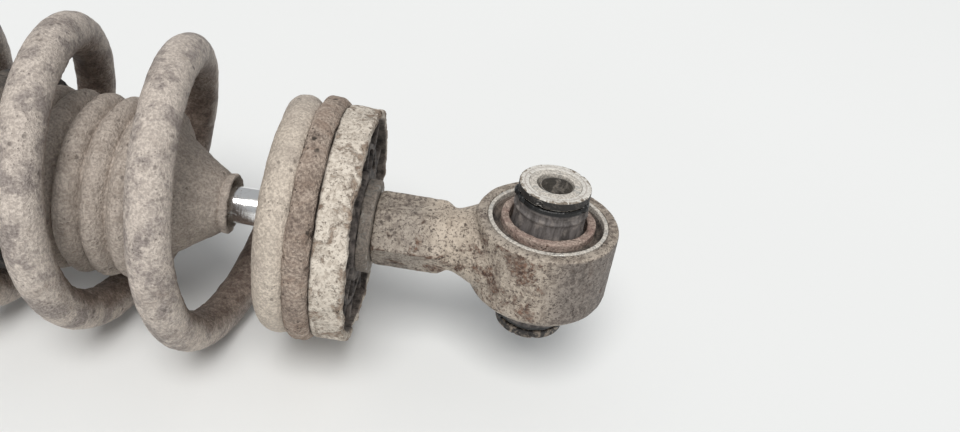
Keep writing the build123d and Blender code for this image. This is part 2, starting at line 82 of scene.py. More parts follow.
def node_points(node):
    """All corner points of a CAD node, as an array, in metres."""
    mesh = frame["nodes"][node].data
    points = np.empty(len(mesh.vertices) * 3)
    mesh.vertices.foreach_get("co", points)
    return points.reshape(-1, 3)


def turned_size(node):
    """(start, end, inner radius, outer radius) of a CAD node turned about the strut axis."""
    points = node_points(node)
    radius = np.hypot(points[:, 1], points[:, 2])
    return points[:, 0].min(), points[:, 0].max(), radius.min(), radius.max()


def upright_size(node):
    """(centre x, bottom, top, inner radius, outer radius) of a CAD node turned about an upright axis."""
    points = node_points(node)
    centre = (points[:, 0].min() + points[:, 0].max()) / 2
    radius = np.hypot(points[:, 0] - centre, points[:, 1])
    return centre, points[:, 2].min(), points[:, 2].max(), radius.min(), radius.max()


# ---------------------------------------------------------------- noise, outlines and surfaces

def lattice_noise(points, size, seed):
    """Smooth random field from -1 to 1: each lattice corner of the given size gets a hashed value,
    and the eight corners around a point are blended with smoothed weights."""
    scaled = points / size
    cell = np.floor(scaled).astype(np.int64)
    share = scaled - cell
    weight = share * share * (3 - 2 * share)
    total = np.zeros(len(points))
    for corner in range(8):
        offset = np.array([corner & 1, (corner >> 1) & 1, (corner >> 2) & 1])
        at = cell + offset
        key = at[:, 0] * 73856093 ^ at[:, 1] * 19349663 ^ at[:, 2] * 83492791 ^ (seed * 2654435761)
        key = (key ^ (key >> 13)) * 1274126177
        value = ((key ^ (key >> 16)) & 0xFFFF) / 32767.5 - 1
        total += value * np.prod(np.where(offset, weight, 1 - weight), axis=1)
    return total


def rough_noise(points, size, seed, octaves=3):
    """Sum of lattice noises, each half the size and half the height of the one before."""
    return sum(lattice_noise(points, size / 2 ** i, seed + i) / 2 ** i for i in range(octaves))


def step(value, low, high):
    """Smooth step of value from 0 at low to 1 at high."""
    t = np.clip((value - low) / (high - low), 0, 1)
    return t * t * (3 - 2 * t)


def rounded(corners, radius, spacing):
    """Closed outline through (along, across) corners, each corner replaced by an arc of the given radius
    limited by its sides, and the straight runs filled with points no further apart than spacing."""
    corners = np.array(corners, float)
    before = np.roll(corners, 1, axis=0) - corners
    after = np.roll(corners, -1, axis=0) - corners
    length_before = np.linalg.norm(before, axis=1)
    length_after = np.linalg.norm(after, axis=1)
    outline = []
    for i, corner in enumerate(corners):
        u, v = before[i] / length_before[i], after[i] / length_after[i]
        half = np.arccos(np.clip(u @ v, -1, 1)) / 2
        shorter = min(length_before[i], length_after[i])
        cut = min(radius / math.tan(half), 0.45 * shorter) if half < 1.55 else 0
        if cut <= 0:
            outline.append(corner[None])
            continue
        t = np.linspace(0, 1, 6)[:, None]
        first, last = corner + u * cut, corner + v * cut
        outline.append((1 - t) ** 2 * first + 2 * t * (1 - t) * corner + t ** 2 * last)
    path = np.concatenate(outline)
    runs = np.roll(path, -1, axis=0) - path
    pieces = []
    for start, run in zip(path, runs):
        count = max(1, int(math.ceil(np.linalg.norm(run) / spacing)))
        pieces.append(start + run * (np.arange(count) / count)[:, None])
    return np.concatenate(pieces)


def sheet_mesh(name, grid, close_rows, close_columns, caps=False):
    """Mesh of a grid of points: rows run along the first index and columns along the second.
    A closed direction joins its last line to its first, and caps put a fan over the first and last row."""
    rows, columns = grid.shape[:2]
    points = grid.reshape(-1, 3)
    i = np.arange(rows if close_rows else rows - 1)[:, None]
    j = np.arange(columns if close_columns else columns - 1)[None, :]
    a = i * columns + j
    b = i * columns + (j + 1) % columns
    c = (i + 1) % rows * columns + (j + 1) % columns
    d = (i + 1) % rows * columns + j
    quads = np.stack([a, b, c, d], axis=-1).reshape(-1, 4)
    faces = quads.tolist()
    if caps:
        centres = np.stack([grid[0].mean(axis=0), grid[-1].mean(axis=0)])
        points = np.concatenate([points, centres])
        ring = np.arange(columns)
        turn = (ring + 1) % columns
        last = (rows - 1) * columns
        faces += np.stack([turn, ring, np.full(columns, rows * columns)], axis=1).tolist()
        faces += np.stack([last + ring, last + turn, np.full(columns, rows * columns + 1)], axis=1).tolist()
    mesh = bpy.data.meshes.new(name)
    mesh.from_pydata(points.tolist(), [], faces)
    mesh.update()
    return mesh


def face_outwards(mesh):
    """Turns a closed mesh the right way out when the volume that its faces enclose is negative."""
    corners = np.empty(len(mesh.vertices) * 3)
    mesh.vertices.foreach_get("co", corners)
    corners = corners.reshape(-1, 3)
    mesh.calc_loop_triangles()
    index = np.empty(len(mesh.loop_triangles) * 3, np.int64)
    mesh.loop_triangles.foreach_get("vertices", index)
    a, b, c = (corners[index.reshape(-1, 3)[:, k]] for k in range(3))
    if np.einsum("ij,ij->i", a, np.cross(b, c)).sum() < 0:
        mesh.flip_normals()
    return mesh


def lathe(name, outline, centre=None, segments=192):
    """Surface of revolution. The closed outline of (along, radius) points turns about the strut axis,
    or about the upright line at x = centre with (radius, height) points."""
    angle = np.arange(segments) * TWO_PI / segments
    outline = np.asarray(outline)
    if centre is None:
        along, radius = outline[:, 0][:, None], outline[:, 1][:, None]
    else:
        along, radius = outline[:, 1][:, None], outline[:, 0][:, None]
    along, radius, angle = np.broadcast_arrays(along, radius, angle[None, :])
    if centre is None:
        grid = np.stack([along, radius * np.sin(angle), radius * np.cos(angle)], axis=-1)
    else:
        grid = np.stack([centre + radius * np.cos(angle), radius * np.sin(angle), along], axis=-1)
    return face_outwards(sheet_mesh(name, grid, True, True))


def merged(name, meshes):
    """One mesh that holds several."""
    points, faces, shift = [], [], 0
    for mesh in meshes:
        points += [tuple(v.co) for v in mesh.vertices]
        faces += [[shift + k for k in polygon.vertices] for polygon in mesh.polygons]
        shift += len(mesh.vertices)
    whole = bpy.data.meshes.new(name)
    whole.from_pydata(points, [], faces)
    whole.update()
    return whole


def displace(mesh, height):
    """Moves every point along its normal by height(points), given in metres."""
    points, normals = places(mesh)
    moved = points + normals * height(points)[:, None]
    mesh.vertices.foreach_set("co", moved.ravel())
    mesh.update()
    return mesh


def remeshed(mesh, voxel, smoothing):
    """The mesh's skin rebuilt as one closed surface on a voxel grid, with its corners smoothed."""
    source = bpy.data.objects.new("skin_source", mesh)
    bpy.context.scene.collection.objects.link(source)
    remesh = source.modifiers.new("skin", "REMESH")
    remesh.mode = "VOXEL"
    remesh.voxel_size = voxel
    smooth = source.modifiers.new("soften", "SMOOTH")
    smooth.factor = 0.5
    smooth.iterations = smoothing
    graph = bpy.context.evaluated_depsgraph_get()
    skin = bpy.data.meshes.new_from_object(source.evaluated_get(graph))
    bpy.data.objects.remove(source)
    return skin


def add_piece(name, mesh, material, node, also=()):
    """Puts a finished mesh in the scene on its body, in place of its CAD node."""
    piece = bpy.data.objects.new(name, mesh)
    bpy.context.scene.collection.objects.link(piece)
    mesh.polygons.foreach_set("use_smooth", np.ones(len(mesh.polygons), bool))
    mesh.materials.append(material)
    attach(piece, BODIES[node])
    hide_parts(node, *also)
    return piece


# ---------------------------------------------------------------- shader node helpers and shared effects

class Wires:
    """Adds nodes to a tree and joins them, with plain numbers and colours set on the sockets."""

    def __init__(self, tree):
        self.tree = tree

    def add(self, kind, values=(), **settings):
        made = self.tree.nodes.new(kind)
        for key, value in settings.items():
            setattr(made, key, value)
        for key, value in dict(values).items():
            self.set(made.inputs[key], value)
        return made

    def set(self, socket, value):
        if isinstance(value, bpy.types.NodeSocket):
            self.tree.links.new(value, socket)
        elif hasattr(value, "__len__") and socket.type == "RGBA" and len(value) == 3:
            socket.default_value = (*value, 1)
        else:
            socket.default_value = value

    def math(self, operation, a, b=0.0, clamp=False):
        made = self.add("ShaderNodeMath", operation=operation, use_clamp=clamp)
        self.set(made.inputs[0], a)
        self.set(made.inputs[1], b)
        return made.outputs[0]

    def plus(self, a, b, clamp=False):
        return self.math("ADD", a, b, clamp)

    def minus(self, a, b):
        return self.math("SUBTRACT", a, b)

    def times(self, a, b, clamp=False):
        return self.math("MULTIPLY", a, b, clamp)

    def noise(self, vector, scale, detail=3.0, roughness=0.55, distortion=0.0):
        made = self.add("ShaderNodeTexNoise", {"Vector": vector, "Scale": scale, "Detail": detail,
                                               "Roughness": roughness, "Distortion": distortion})
        return made.outputs["Fac"]

    def cells(self, vector, scale):
        made = self.add("ShaderNodeTexVoronoi", {"Vector": vector, "Scale": scale}, feature="F1")
        return made.outputs["Distance"]

    def band(self, value, low, high, start=0.0, end=1.0):
        made = self.add("ShaderNodeMapRange", {"Value": value, "From Min": low, "From Max": high,
                                               "To Min": start, "To Max": end},
                        interpolation_type="SMOOTHSTEP")
        return made.outputs["Result"]

    def mix(self, share, a, b, blend="MIX"):
        made = self.add("ShaderNodeMix", data_type="RGBA", blend_type=blend)
        self.set(made.inputs[0], share)
        self.set(made.inputs[6], a)
        self.set(made.inputs[7], b)
        return made.outputs[2]

    def stretched(self, vector, scale):
        made = self.add("ShaderNodeMapping", {"Vector": vector, "Scale": scale})
        return made.outputs["Vector"]


def effect_group(name, inputs, outputs, build):
    """Shader node group with named sockets; build fills it and returns its output values by name."""
    if name in bpy.data.node_groups:
        return bpy.data.node_groups[name]
    tree = bpy.data.node_groups.new(name, "ShaderNodeTree")
    for label, (kind, value) in inputs.items():
        socket = tree.interface.new_socket(name=label, in_out="INPUT", socket_type=kind)
        if value is not None:
            socket.default_value = value
    for label, kind in outputs.items():
        tree.interface.new_socket(name=label, in_out="OUTPUT", socket_type=kind)
    wires = Wires(tree)
    source = tree.nodes.new("NodeGroupInput")
    sink = tree.nodes.new("NodeGroupOutput")
    results = build(wires, source.outputs)
    for label, value in results.items():
        wires.set(sink.inputs[label], value)
    return tree


FLOAT, COLOR, VECTOR = "NodeSocketFloat", "NodeSocketColor", "NodeSocketVector"


def dust_effect():
    """Caked road dust: wide clouds, hand-size smears and sand grain over a base colour."""

    def build(wires, inputs):
        place = inputs["Vector"]
        clouds = wires.noise(place, 55.0, 3.0, 0.6)
        smears = wires.noise(wires.stretched(place, (0.45, 1.0, 1.0)), 210.0, 4.0, 0.65, 0.6)
        sand = wires.noise(place, 1150.0, 2.0, 0.7)
        grit = wires.noise(place, 2600.0, 1.0, 0.6)
        cover = wires.plus(wires.times(clouds, 0.55), wires.times(smears, 0.45))
        cover = wires.plus(cover, wires.times(wires.minus(sand, 0.5), 0.22))
        edge = wires.minus(0.86, wires.times(inputs["Amount"], 0.72))
        mask = wires.band(cover, wires.minus(edge, 0.13), wires.plus(edge, 0.13))
        tint = wires.mix(wires.band(smears, 0.35, 0.7), inputs["Dust"], inputs["Dust Shade"])
        color = wires.mix(mask, inputs["Base"], tint)
        fleck = wires.band(sand, 0.38, 0.66)
        color = wires.mix(wires.times(inputs["Grain"], 0.55), color,
                          wires.mix(fleck, (0.30, 0.27, 0.26), (1.0, 0.99, 0.97)), "MULTIPLY")
        height = wires.plus(wires.times(mask, 0.35),
                            wires.times(wires.plus(sand, wires.times(grit, 0.5)),
                                       inputs["Grain"]))
        rough = wires.plus(0.62, wires.times(mask, 0.33))
        return {"Color": color, "Mask": mask, "Height": height, "Roughness": rough}

    return effect_group(
        "Road dust",
        {"Vector": (VECTOR, None), "Base": (COLOR, (0.2, 0.19, 0.18, 1)),
         "Dust": (COLOR, (0.6, 0.55, 0.5, 1)), "Dust Shade": (COLOR, (0.45, 0.4, 0.37, 1)),
         "Amount": (FLOAT, 0.5), "Grain": (FLOAT, 0.5)},
        {"Color": COLOR, "Mask": FLOAT, "Height": FLOAT, "Roughness": FLOAT}, build)


def rust_effect():
    """Rust: patches with ragged edges, made of brown and orange grains."""

    def build(wires, inputs):
        place = inputs["Vector"]
        patch = wires.noise(place, inputs["Scale"], 5.0, 0.68, 0.8)
        edge = wires.minus(0.82, wires.times(inputs["Amount"], 0.6))
        mask = wires.band(patch, wires.minus(edge, 0.06), wires.plus(edge, 0.06))
        grains = wires.noise(place, 900.0, 2.0, 0.7)
        brown = wires.mix(wires.band(grains, 0.35, 0.65), inputs["Deep"], inputs["Light"])
        color = wires.mix(mask, inputs["Base"], brown)
        height = wires.times(mask, wires.plus(0.3, grains))
        return {"Color": color, "Mask": mask, "Height": height}

    return effect_group(
        "Rust patches",
        {"Vector": (VECTOR, None), "Base": (COLOR, (0.4, 0.38, 0.35, 1)),
         "Deep": (COLOR, (0.13, 0.065, 0.04, 1)), "Light": (COLOR, (0.38, 0.2, 0.12, 1)),
         "Scale": (FLOAT, 90.0), "Amount": (FLOAT, 0.5)},
        {"Color": COLOR, "Mask": FLOAT, "Height": FLOAT}, build)


def pit_effect():
    """Pits: scattered dark holes of two sizes that sink into the surface."""

    def build(wires, inputs):
        place = inputs["Vector"]
        large = wires.band(wires.cells(place, inputs["Scale"]), 0.10, 0.24, 1.0, 0.0)
        small = wires.band(wires.cells(place, wires.times(inputs["Scale"], 3.1)), 0.12, 0.26, 1.0, 0.0)
        where = wires.band(wires.noise(place, 140.0, 2.0), 0.42, 0.62)
        pits = wires.times(wires.math("MAXIMUM", large, wires.times(small, 0.8)), where)
        pits = wires.times(pits, inputs["Amount"], True)
        color = wires.mix(pits, inputs["Base"], inputs["Dark"])
        return {"Color": color, "Mask": pits, "Height": wires.times(pits, -1.0)}

    return effect_group(
        "Pits",
        {"Vector": (VECTOR, None), "Base": (COLOR, (0.5, 0.5, 0.5, 1)),
         "Dark": (COLOR, (0.03, 0.025, 0.02, 1)), "Scale": (FLOAT, 320.0), "Amount": (FLOAT, 0.8)},
        {"Color": COLOR, "Mask": FLOAT, "Height": FLOAT}, build)


def use_effect(wires, tree, values):
    """Places an effect group in a material and returns its outputs."""
    made = wires.add("ShaderNodeGroup", node_tree=tree)
    for key, value in values.items():
        wires.set(made.inputs[key], value)
    return made.outputs


def start_material(name):
    """Empty node material with a Principled shader; returns its wires, shader and object coordinates."""
    material = bpy.data.materials.new("used_" + name)
    material.use_nodes = True
    material.node_tree.nodes.clear()
    wires = Wires(material.node_tree)
    shader = wires.add("ShaderNodeBsdfPrincipled")
    output = wires.add("ShaderNodeOutputMaterial")
    material.node_tree.links.new(shader.outputs["BSDF"], output.inputs["Surface"])
    place = wires.add("ShaderNodeTexCoord").outputs["Object"]
    return material, wires, shader, place


def finish_surface(wires, shader, color, roughness, height, depth):
    """Joins the last colour, roughness and height to the shader; depth is the bump's in metres."""
    bump = wires.add("ShaderNodeBump", {"Strength": 1.0, "Distance": depth, "Height": height})
    wires.set(shader.inputs["Base Color"], color)
    wires.set(shader.inputs["Roughness"], roughness)
    wires.set(shader.inputs["Normal"], bump.outputs["Normal"])


def weathered(name, base, dust, shade, amount, grain, rust=0.0, pits=0.0, depth=0.35, metallic=0.0,
              rust_scale=90.0, pit_scale=320.0, light=(0.38, 0.2, 0.12), specular=0.3):
    """Used surface: base colour, then rust patches, then dust, then pits."""
    material, wires, shader, place = start_material(name)
    color, height = base, 0.0
    if rust > 0:
        rusty = use_effect(wires, rust_effect(), {
            "Vector": place, "Base": color, "Amount": rust, "Scale": rust_scale,
            "Deep": (0.13, 0.065, 0.04), "Light": light})
        color, height = rusty["Color"], rusty["Height"]
    dusty = use_effect(wires, dust_effect(), {
        "Vector": place, "Base": color, "Dust": dust, "Dust Shade": shade, "Amount": amount, "Grain": grain})
    color = dusty["Color"]
    height = wires.plus(dusty["Height"], height)
    if rust > 0:
        color = wires.mix(wires.times(rusty["Mask"], 0.75), color, rusty["Color"])
    if pits > 0:
        pitted = use_effect(wires, pit_effect(), {
            "Vector": place, "Base": color, "Amount": pits, "Scale": pit_scale})
        color = pitted["Color"]
        height = wires.plus(height, pitted["Height"])
    shader.inputs["Metallic"].default_value = metallic
    shader.inputs["Specular IOR Level"].default_value = specular
    finish_surface(wires, shader, color, dusty["Roughness"], height, depth * MM)
    return material


def store(mesh, name, values):
    """Keeps one number per vertex in a named attribute for the material to read."""
    mesh.attributes.new(name, "FLOAT", "POINT").data.foreach_set("value", np.asarray(values, np.float32))
    return mesh


def places(mesh):
    """Vertex positions and normals of a mesh, as arrays."""
    count = len(mesh.vertices)
    points, normals = np.empty(count * 3), np.empty(count * 3)
    mesh.vertices.foreach_get("co", points)
    mesh.vertex_normals.foreach_get("vector", normals)
    return points.reshape(-1, 3), normals.reshape(-1, 3)


def stored(wires, name):
    """Value of a named attribute in a material."""
    return wires.add("ShaderNodeAttribute", attribute_name=name).outputs["Fac"]


def ring_corners(r0, r1, low, high):
    """(radius, height) corners of a plain upright ring."""
    return [(r0, low), (r1, low), (r1, high), (r0, high)]


def roughened(mesh, fine, wide, seed, fine_size=1.3, wide_size=7.0, pits=0.0, pit_size=3.2):
    """Displaces a mesh by fine grain, wide dents and pits; heights and sizes in millimetres.
    A pit sinks in where a third noise is above its threshold."""
    def height(points):
        total = fine * rough_noise(points, fine_size * MM, seed, 2)
        total += wide * rough_noise(points, wide_size * MM, seed + 11, 3)
        if pits:
            total -= pits * step(rough_noise(points, pit_size * MM, seed + 23, 2), 0.62, 0.95)
        return total * MM
    return displace(mesh, height)


# ---------------------------------------------------------------- sizes and colours that a user may change

def length_size(name, description, millimetres):
    """Length property with the given default."""
    return FloatProperty(name=name, description=description, default=millimetres * MM, unit="LENGTH")


def turn_size(name, description, degrees):
    """Angle property with the given default."""
    return FloatProperty(name=name, description=description, default=math.radians(degrees), subtype="ANGLE")


class CoiloverSizes(PropertyGroup):
    wire_radius: length_size("Wire radius", "Half the spring wire's thickness", 6.6)
    coil_radius: length_size("Coil radius", "Wire centre radius of the working turns", 45.0)
    end_radius: length_size("End turn radius", "Wire centre radius of the closed turns", 33.0)
    pitch: length_size("Pitch", "Climb of the spring wire per turn", 37.4)
    bow: length_size("Bow", "How far the coils' centre line bows out at mid length", 3.2)
    bow_turn: turn_size("Bow direction", "Direction of the bow, from up towards +Y", 20)
    start_turn: turn_size("Spring start", "Where the wire leaves the upper seat", -352)
    end_turn: turn_size("Closed turn", "Length of the closed turn at each end", 228)
    grow_start: turn_size("Growth start", "Turn after the seat where the radius grows", 14)
    grow_span: turn_size("Growth span", "Turn in which the radius grows to full size", 165)
    lead: length_size("First turn's lead", "Climb of an end's first turn beyond the pitch", 4.9)
    lead_span: turn_size("Lead span", "Turn over which that climb is made", 220)
    seat_bend: turn_size("Seat bend", "Turn from a flat wire to full pitch", 60)
    stop_radius: length_size("Bump stop radius", "Outer radius of the bump stop's folds", 30.0)
    stop_valley: length_size("Bump stop valley", "Radius between the folds", 25.6)
    stop_fold: length_size("Fold spacing", "Distance from one fold to the next", 8.4)
    crust: length_size("Rim crust", "Thickness of the dirt crust on the plate's rim", 0.65)
    hex_flats: length_size("Hexagon", "Distance across the stem's flats", 22.0)
    hex_length: length_size("Hexagon length", "Length of the stem's hexagon", 23.4)
    neck_radius: length_size("Neck radius", "Radius of the stem's neck behind the hexagon", 10.4)
    floor_drop: length_size("Floor", "Depth of the floor below the strut's axis", 52.5)
    lens: FloatProperty(name="Lens", description="Camera focal length on a 36 mm sensor, in millimetres",
                        default=35.38)


def tone(name, description, colour):
    """Colour property with the given default."""
    return FloatVectorProperty(name=name, description=description, default=colour, subtype="COLOR",
                               size=3, min=0.0, max=1.0)


class CoiloverColours(PropertyGroup):
    spring_dust: tone("Spring dust", "Pale dust on the coils", (0.68, 0.605, 0.54))
    spring_shade: tone("Spring smudges", "Grey marks between the dust", (0.25, 0.215, 0.205))
    stop_dust: tone("Bump stop", "Dust on the foam", (0.62, 0.545, 0.48))
    isolator_dust: tone("Isolator", "Dust on the rubber rings", (0.60, 0.50, 0.42))
    crust_pale: tone("Crust", "Ivory crust on the rim", (0.70, 0.635, 0.55))
    steel_dust: tone("Forged steel", "Grey-beige film on the eyes and the stem", (0.40, 0.345, 0.285))
    rust_deep: tone("Deep rust", "Dark rust", (0.060, 0.036, 0.028))
    rust_light: tone("Light rust", "Bright rust grains", (0.20, 0.118, 0.082))
    rubber: tone("Rubber", "Dusty grey rubber", (0.16, 0.145, 0.14))
    chrome: tone("Chrome", "Chrome of the piston rod", (0.92, 0.92, 0.92))
    floor: tone("Floor", "Pale floor", (0.86, 0.87, 0.865))


def sizes():
    return bpy.context.scene.coilover_sizes


def colours():
    return bpy.context.scene.coilover_colours


def rgb(value):
    return tuple(value)


# ---------------------------------------------------------------- shapes of the single pieces

def spring_line(s, top, bottom, angle):
    """Centre line of the wire at the given angles, in metres. x falls by one pitch per turn of climbed
    angle, which is zero in a closed turn, all of the turn beyond it and smooth within the seat bend. The
    radius eases from the closed turn's to the coils', and the centre bows out by half a sine wave whose
    slope leans the coils."""
    climb = TWO_PI * (top - bottom - 2 * s.lead) / s.pitch

    def climbed(turned):
        t = np.clip(turned / s.seat_bend + 0.5, 0, 1)
        return np.where(t < 1, s.seat_bend * (t ** 3 - t ** 4 / 2), turned)

    lead = s.lead * (step(angle / s.lead_span, 0, 1) + 1 - step((climb - angle) / s.lead_span, 0, 1))
    x = top - lead - s.pitch / TWO_PI * (climbed(angle) - climbed(angle - climb))
    grown = (step((angle - s.grow_start) / s.grow_span, 0, 1)
             * step((climb - angle - s.grow_start) / s.grow_span, 0, 1))
    radius = s.end_radius + (s.coil_radius - s.end_radius) * grown
    turn = s.start_turn + angle
    share = math.pi * (top - x) / (top - bottom)
    bow = s.bow * np.sin(share)
    lean = s.bow * math.pi / (top - bottom) * np.cos(share) * grown
    line = np.stack([x + lean * radius * np.cos(turn - s.bow_turn),
                     radius * np.sin(turn) + bow * math.sin(s.bow_turn),
                     radius * np.cos(turn) + bow * math.cos(s.bow_turn)], axis=1)
    outward = np.stack([0 * turn, np.sin(turn), np.cos(turn)], axis=1)
    return line, outward


def spring_mesh(s, top, bottom):
    """Round wire: circles of the wire's radius in planes square to the centre line, each point pushed
    out by dust grain, more on the side that faces the axis. The last rows draw in to round the cut ends."""
    climb = TWO_PI * (top - bottom - 2 * s.lead) / s.pitch
    span = climb + 2 * s.end_turn
    ends = np.array([0, 0.004, 0.012, 0.024])
    share = np.concatenate([ends, np.linspace(0.05, span - 0.05, 1040), span - ends[::-1]])
    line, outward = spring_line(s, top, bottom, share - s.end_turn)
    tangent = np.gradient(line, axis=0)
    tangent /= np.linalg.norm(tangent, axis=1)[:, None]
    outward -= tangent * (outward * tangent).sum(axis=1)[:, None]
    outward /= np.linalg.norm(outward, axis=1)[:, None]
    side = np.cross(tangent, outward)
    around = np.arange(44) * TWO_PI / 44
    normal = outward[:, None] * np.cos(around)[:, None] + side[:, None] * np.sin(around)[:, None]
    to_end = np.minimum(share, span - share) * s.end_radius / (1.2 * MM)
    drawn = 1.2 * MM * (1 - np.sqrt(1 - (1 - np.clip(to_end, 0, 1)) ** 2))
    grid = line[:, None] + normal * (s.wire_radius - drawn)[:, None, None]
    points = grid.reshape(-1, 3)
    inward = -np.broadcast_to(np.cos(around), grid.shape[:2]).ravel()
    grain = 0.10 + 0.16 * step(inward, -0.2, 0.8)
    height = grain * rough_noise(points, 1.6 * MM, 5, 2) + 0.16 * rough_noise(points, 9 * MM, 9, 3)
    height += 0.35 * step(rough_noise(points, 5 * MM, 31, 3), 0.55, 0.8) * step(inward, -0.1, 0.5)
    height *= np.repeat(step(to_end, 0.0, 6.0), len(around))
    grid = (points + normal.reshape(-1, 3) * height[:, None] * MM).reshape(grid.shape)
    mesh = face_outwards(sheet_mesh("coil_spring", grid, False, True, True))
    # inward is 1 on the side of the wire that faces the axis; the material also paints shade there
    store(mesh, "inward", np.concatenate([inward, [0, 0]]))
    seated = step(share, s.end_turn + 0.9, s.end_turn - 0.3)
    seated = seated + step(share, span - s.end_turn, span - s.end_turn + 1)
    store(mesh, "seated", np.concatenate([np.repeat(seated, len(around)), [1, 1]]))
    return mesh


def stop_outline(s, base, tip, bore):
    """(along, radius) outline of the bump stop: folds shaped as a flattened sine between sharp valleys,
    a hollow-sided cone, a groove just below the tip and a bevelled mouth."""
    cone_length, cone_foot, cone_top, groove = 18.5 * MM, 20.5 * MM, 10.4 * MM, 3.4 * MM
    cone = tip - cone_length
    along = np.linspace(base, cone, 150)
    wave = np.abs(np.sin(math.pi * (along - base) / s.stop_fold))
    folds = s.stop_valley + (s.stop_radius - s.stop_valley) * wave ** 0.62
    shrink = step(along, cone - 5 * MM, cone)
    folds = folds * (1 - shrink) + cone_foot * shrink
    up = np.linspace(0, 1, 40)[1:]
    run = cone + (tip - groove - cone) * up
    flank = cone_foot + (cone_top - cone_foot) * up ** 0.92
    end = np.array([(tip - 3.1 * MM, 9.5 * MM), (tip - 2.8 * MM, 9.4 * MM), (tip - 2.4 * MM, 10.1 * MM),
                    (tip - 0.7 * MM, 10.2 * MM), (tip - 0.2 * MM, 9.9 * MM), (tip, 9.3 * MM),
                    (tip - 0.5 * MM, 8.6 * MM), (tip - 4 * MM, bore + 0.4 * MM), (tip - 8 * MM, bore)])
    inner = np.stack([np.linspace(tip - 12 * MM, base, 20), np.full(20, bore)], axis=1)
    return np.concatenate([np.stack([along, folds], axis=1), np.stack([run, flank], axis=1), end, inner])


def isolator_outline(node, s, side):
    """(along, radius) outline of a rubber ring: a flat web and a rim whose inside follows the wire."""
    x0, x1, r0, r1 = turned_size(node)
    back, rim = (x1, x0) if side > 0 else (x0, x1)
    web_thickness, wire_play = 5.0 * MM, 0.3 * MM
    web = back - side * web_thickness
    hollow = s.wire_radius + wire_play
    wire_x = web - side * hollow
    last = math.acos(max(-1.0, (rim - wire_x) * side / hollow))
    turn = np.linspace(last, 0, 20)
    curve = np.stack([wire_x + side * hollow * np.cos(turn), s.end_radius + hollow * np.sin(turn)], axis=1)
    middle = (rim + back) / 2
    corners = rounded([(rim, r1 - 1.0 * MM), (middle - side * 2.2 * MM, r1 + 0.2 * MM),
                       (middle + side * 1.6 * MM, r1 + 0.1 * MM), (back, r1 - 1.6 * MM), (back, r0),
                       (web, r0)],
                      2.4 * MM, 0.55 * MM)
    first = np.argmin(np.abs(corners - np.array([rim, r1])).sum(axis=1))
    return np.concatenate([np.roll(corners, -first, axis=0), curve[::-1]])


def rib_mesh(x0, x1, r0, r1, half, turn):
    """One radial rib: a rounded rectangle (along, across) carried from the inner to the outer radius,
    and turned about the strut axis."""
    section = rounded([(x0, -half), (x1, -half * 0.8), (x1, half * 0.8), (x0, half)], 0.6 * MM, 0.7 * MM)
    radius = np.linspace(r0, r1, 26)
    along = section[:, 0][None, :] + 0 * radius[:, None]
    across = section[:, 1][None, :] + 0 * radius[:, None]
    up = radius[:, None] + 0 * along
    grid = np.stack([along, up * math.sin(turn) + across * math.cos(turn),
                     up * math.cos(turn) - across * math.sin(turn)], axis=-1)
    return face_outwards(sheet_mesh("rib", grid, False, True, True))


def upper_plate_mesh(s):
    """Plate with rim, ring, boss and spigot as one turned outline, and twelve ribs. The rim's outside
    and back edge carry a crust: a raised noise field with chips knocked out of it."""
    seat = turned_size("upper_isolator")[1]
    nose, back, bore, outer = turned_size("upper_spring_plate")
    boss_face = turned_size("clamp_washer")[0]
    floor = seat + 3 * MM
    outline = rounded([(nose, bore), (nose, 24.4 * MM), (seat, 24.4 * MM), (seat, outer), (back, outer),
                       (back, outer - 3.1 * MM), (floor, outer - 3.4 * MM), (floor, 27.6 * MM),
                       (floor + 6 * MM, 27.3 * MM), (floor + 6 * MM, 25.3 * MM), (floor, 25.0 * MM),
                       (floor, 19.6 * MM), (boss_face, 18.8 * MM), (boss_face, bore)], 0.7 * MM, 0.6 * MM)
    shell = lathe("plate_shell", outline, segments=290)

    def crusted(points):
        radius = np.hypot(points[:, 1], points[:, 2])
        rim = step(radius, outer - 3.3 * MM, outer - 2.2 * MM)
        rim = rim * step(points[:, 0], seat - 1 * MM, seat + 0.4 * MM)
        behind = step(points[:, 0], back - 3.2 * MM, back - 0.4 * MM)
        lumps = 0.5 + 0.5 * rough_noise(points, 4.2 * MM, 71, 4)
        grain = rough_noise(points, 1.3 * MM, 77, 2)
        chips = step(rough_noise(points, 6.5 * MM, 83, 4), 0.36, 0.5)
        crust = s.crust / MM * (lumps * (1 - 0.7 * chips) + 0.34 * grain) - 0.6 * chips * behind
        seam = step(np.abs(points[:, 0] - seat), 0.9 * MM, 0.0)
        return (rim * (crust - 0.5 * seam) + (1 - rim) * 0.12 * grain) * MM

    displace(shell, crusted)
    turns = (np.arange(12) + 0.5) * TWO_PI / 12
    ribs = [rib_mesh(floor - 1 * MM, floor + 6 * MM, 17.5 * MM, outer - 2 * MM, 1.25 * MM, t) for t in turns]
    mesh = merged("upper_spring_plate", [shell] + ribs)
    points, _ = places(mesh)
    radius = np.hypot(points[:, 1], points[:, 2])
    rim = step(radius, outer - 3.4 * MM, outer - 2.0 * MM) * step(points[:, 0], seat, seat + 1.0 * MM)
    store(mesh, "rim", rim)
    store(mesh, "raised", step(points[:, 0], floor + 0.5 * MM, floor + 5.5 * MM))
    store(mesh, "behind", step(points[:, 0], back - 2.0 * MM, back - 0.2 * MM))
    return mesh


def ring_mesh(name, centre, outer, inner, half):
    """Closed upright ring with a rounded upper and a more rounded lower outer edge."""
    t = np.linspace(0, math.pi / 2, 8)
    lower = 4.2 * MM
    upper = 0.9 * MM
    low = np.stack([outer - lower + lower * np.sin(t), -half + lower - lower * np.cos(t)], axis=1)
    high = np.stack([outer - upper + upper * np.cos(t), half - upper + upper * np.sin(t)], axis=1)
    low[:, 0] = np.maximum(low[:, 0], inner + 0.6 * MM)
    outline = np.concatenate([[(inner, half)], [(inner, -half)], low, high])
    return lathe(name, outline, centre, 180)


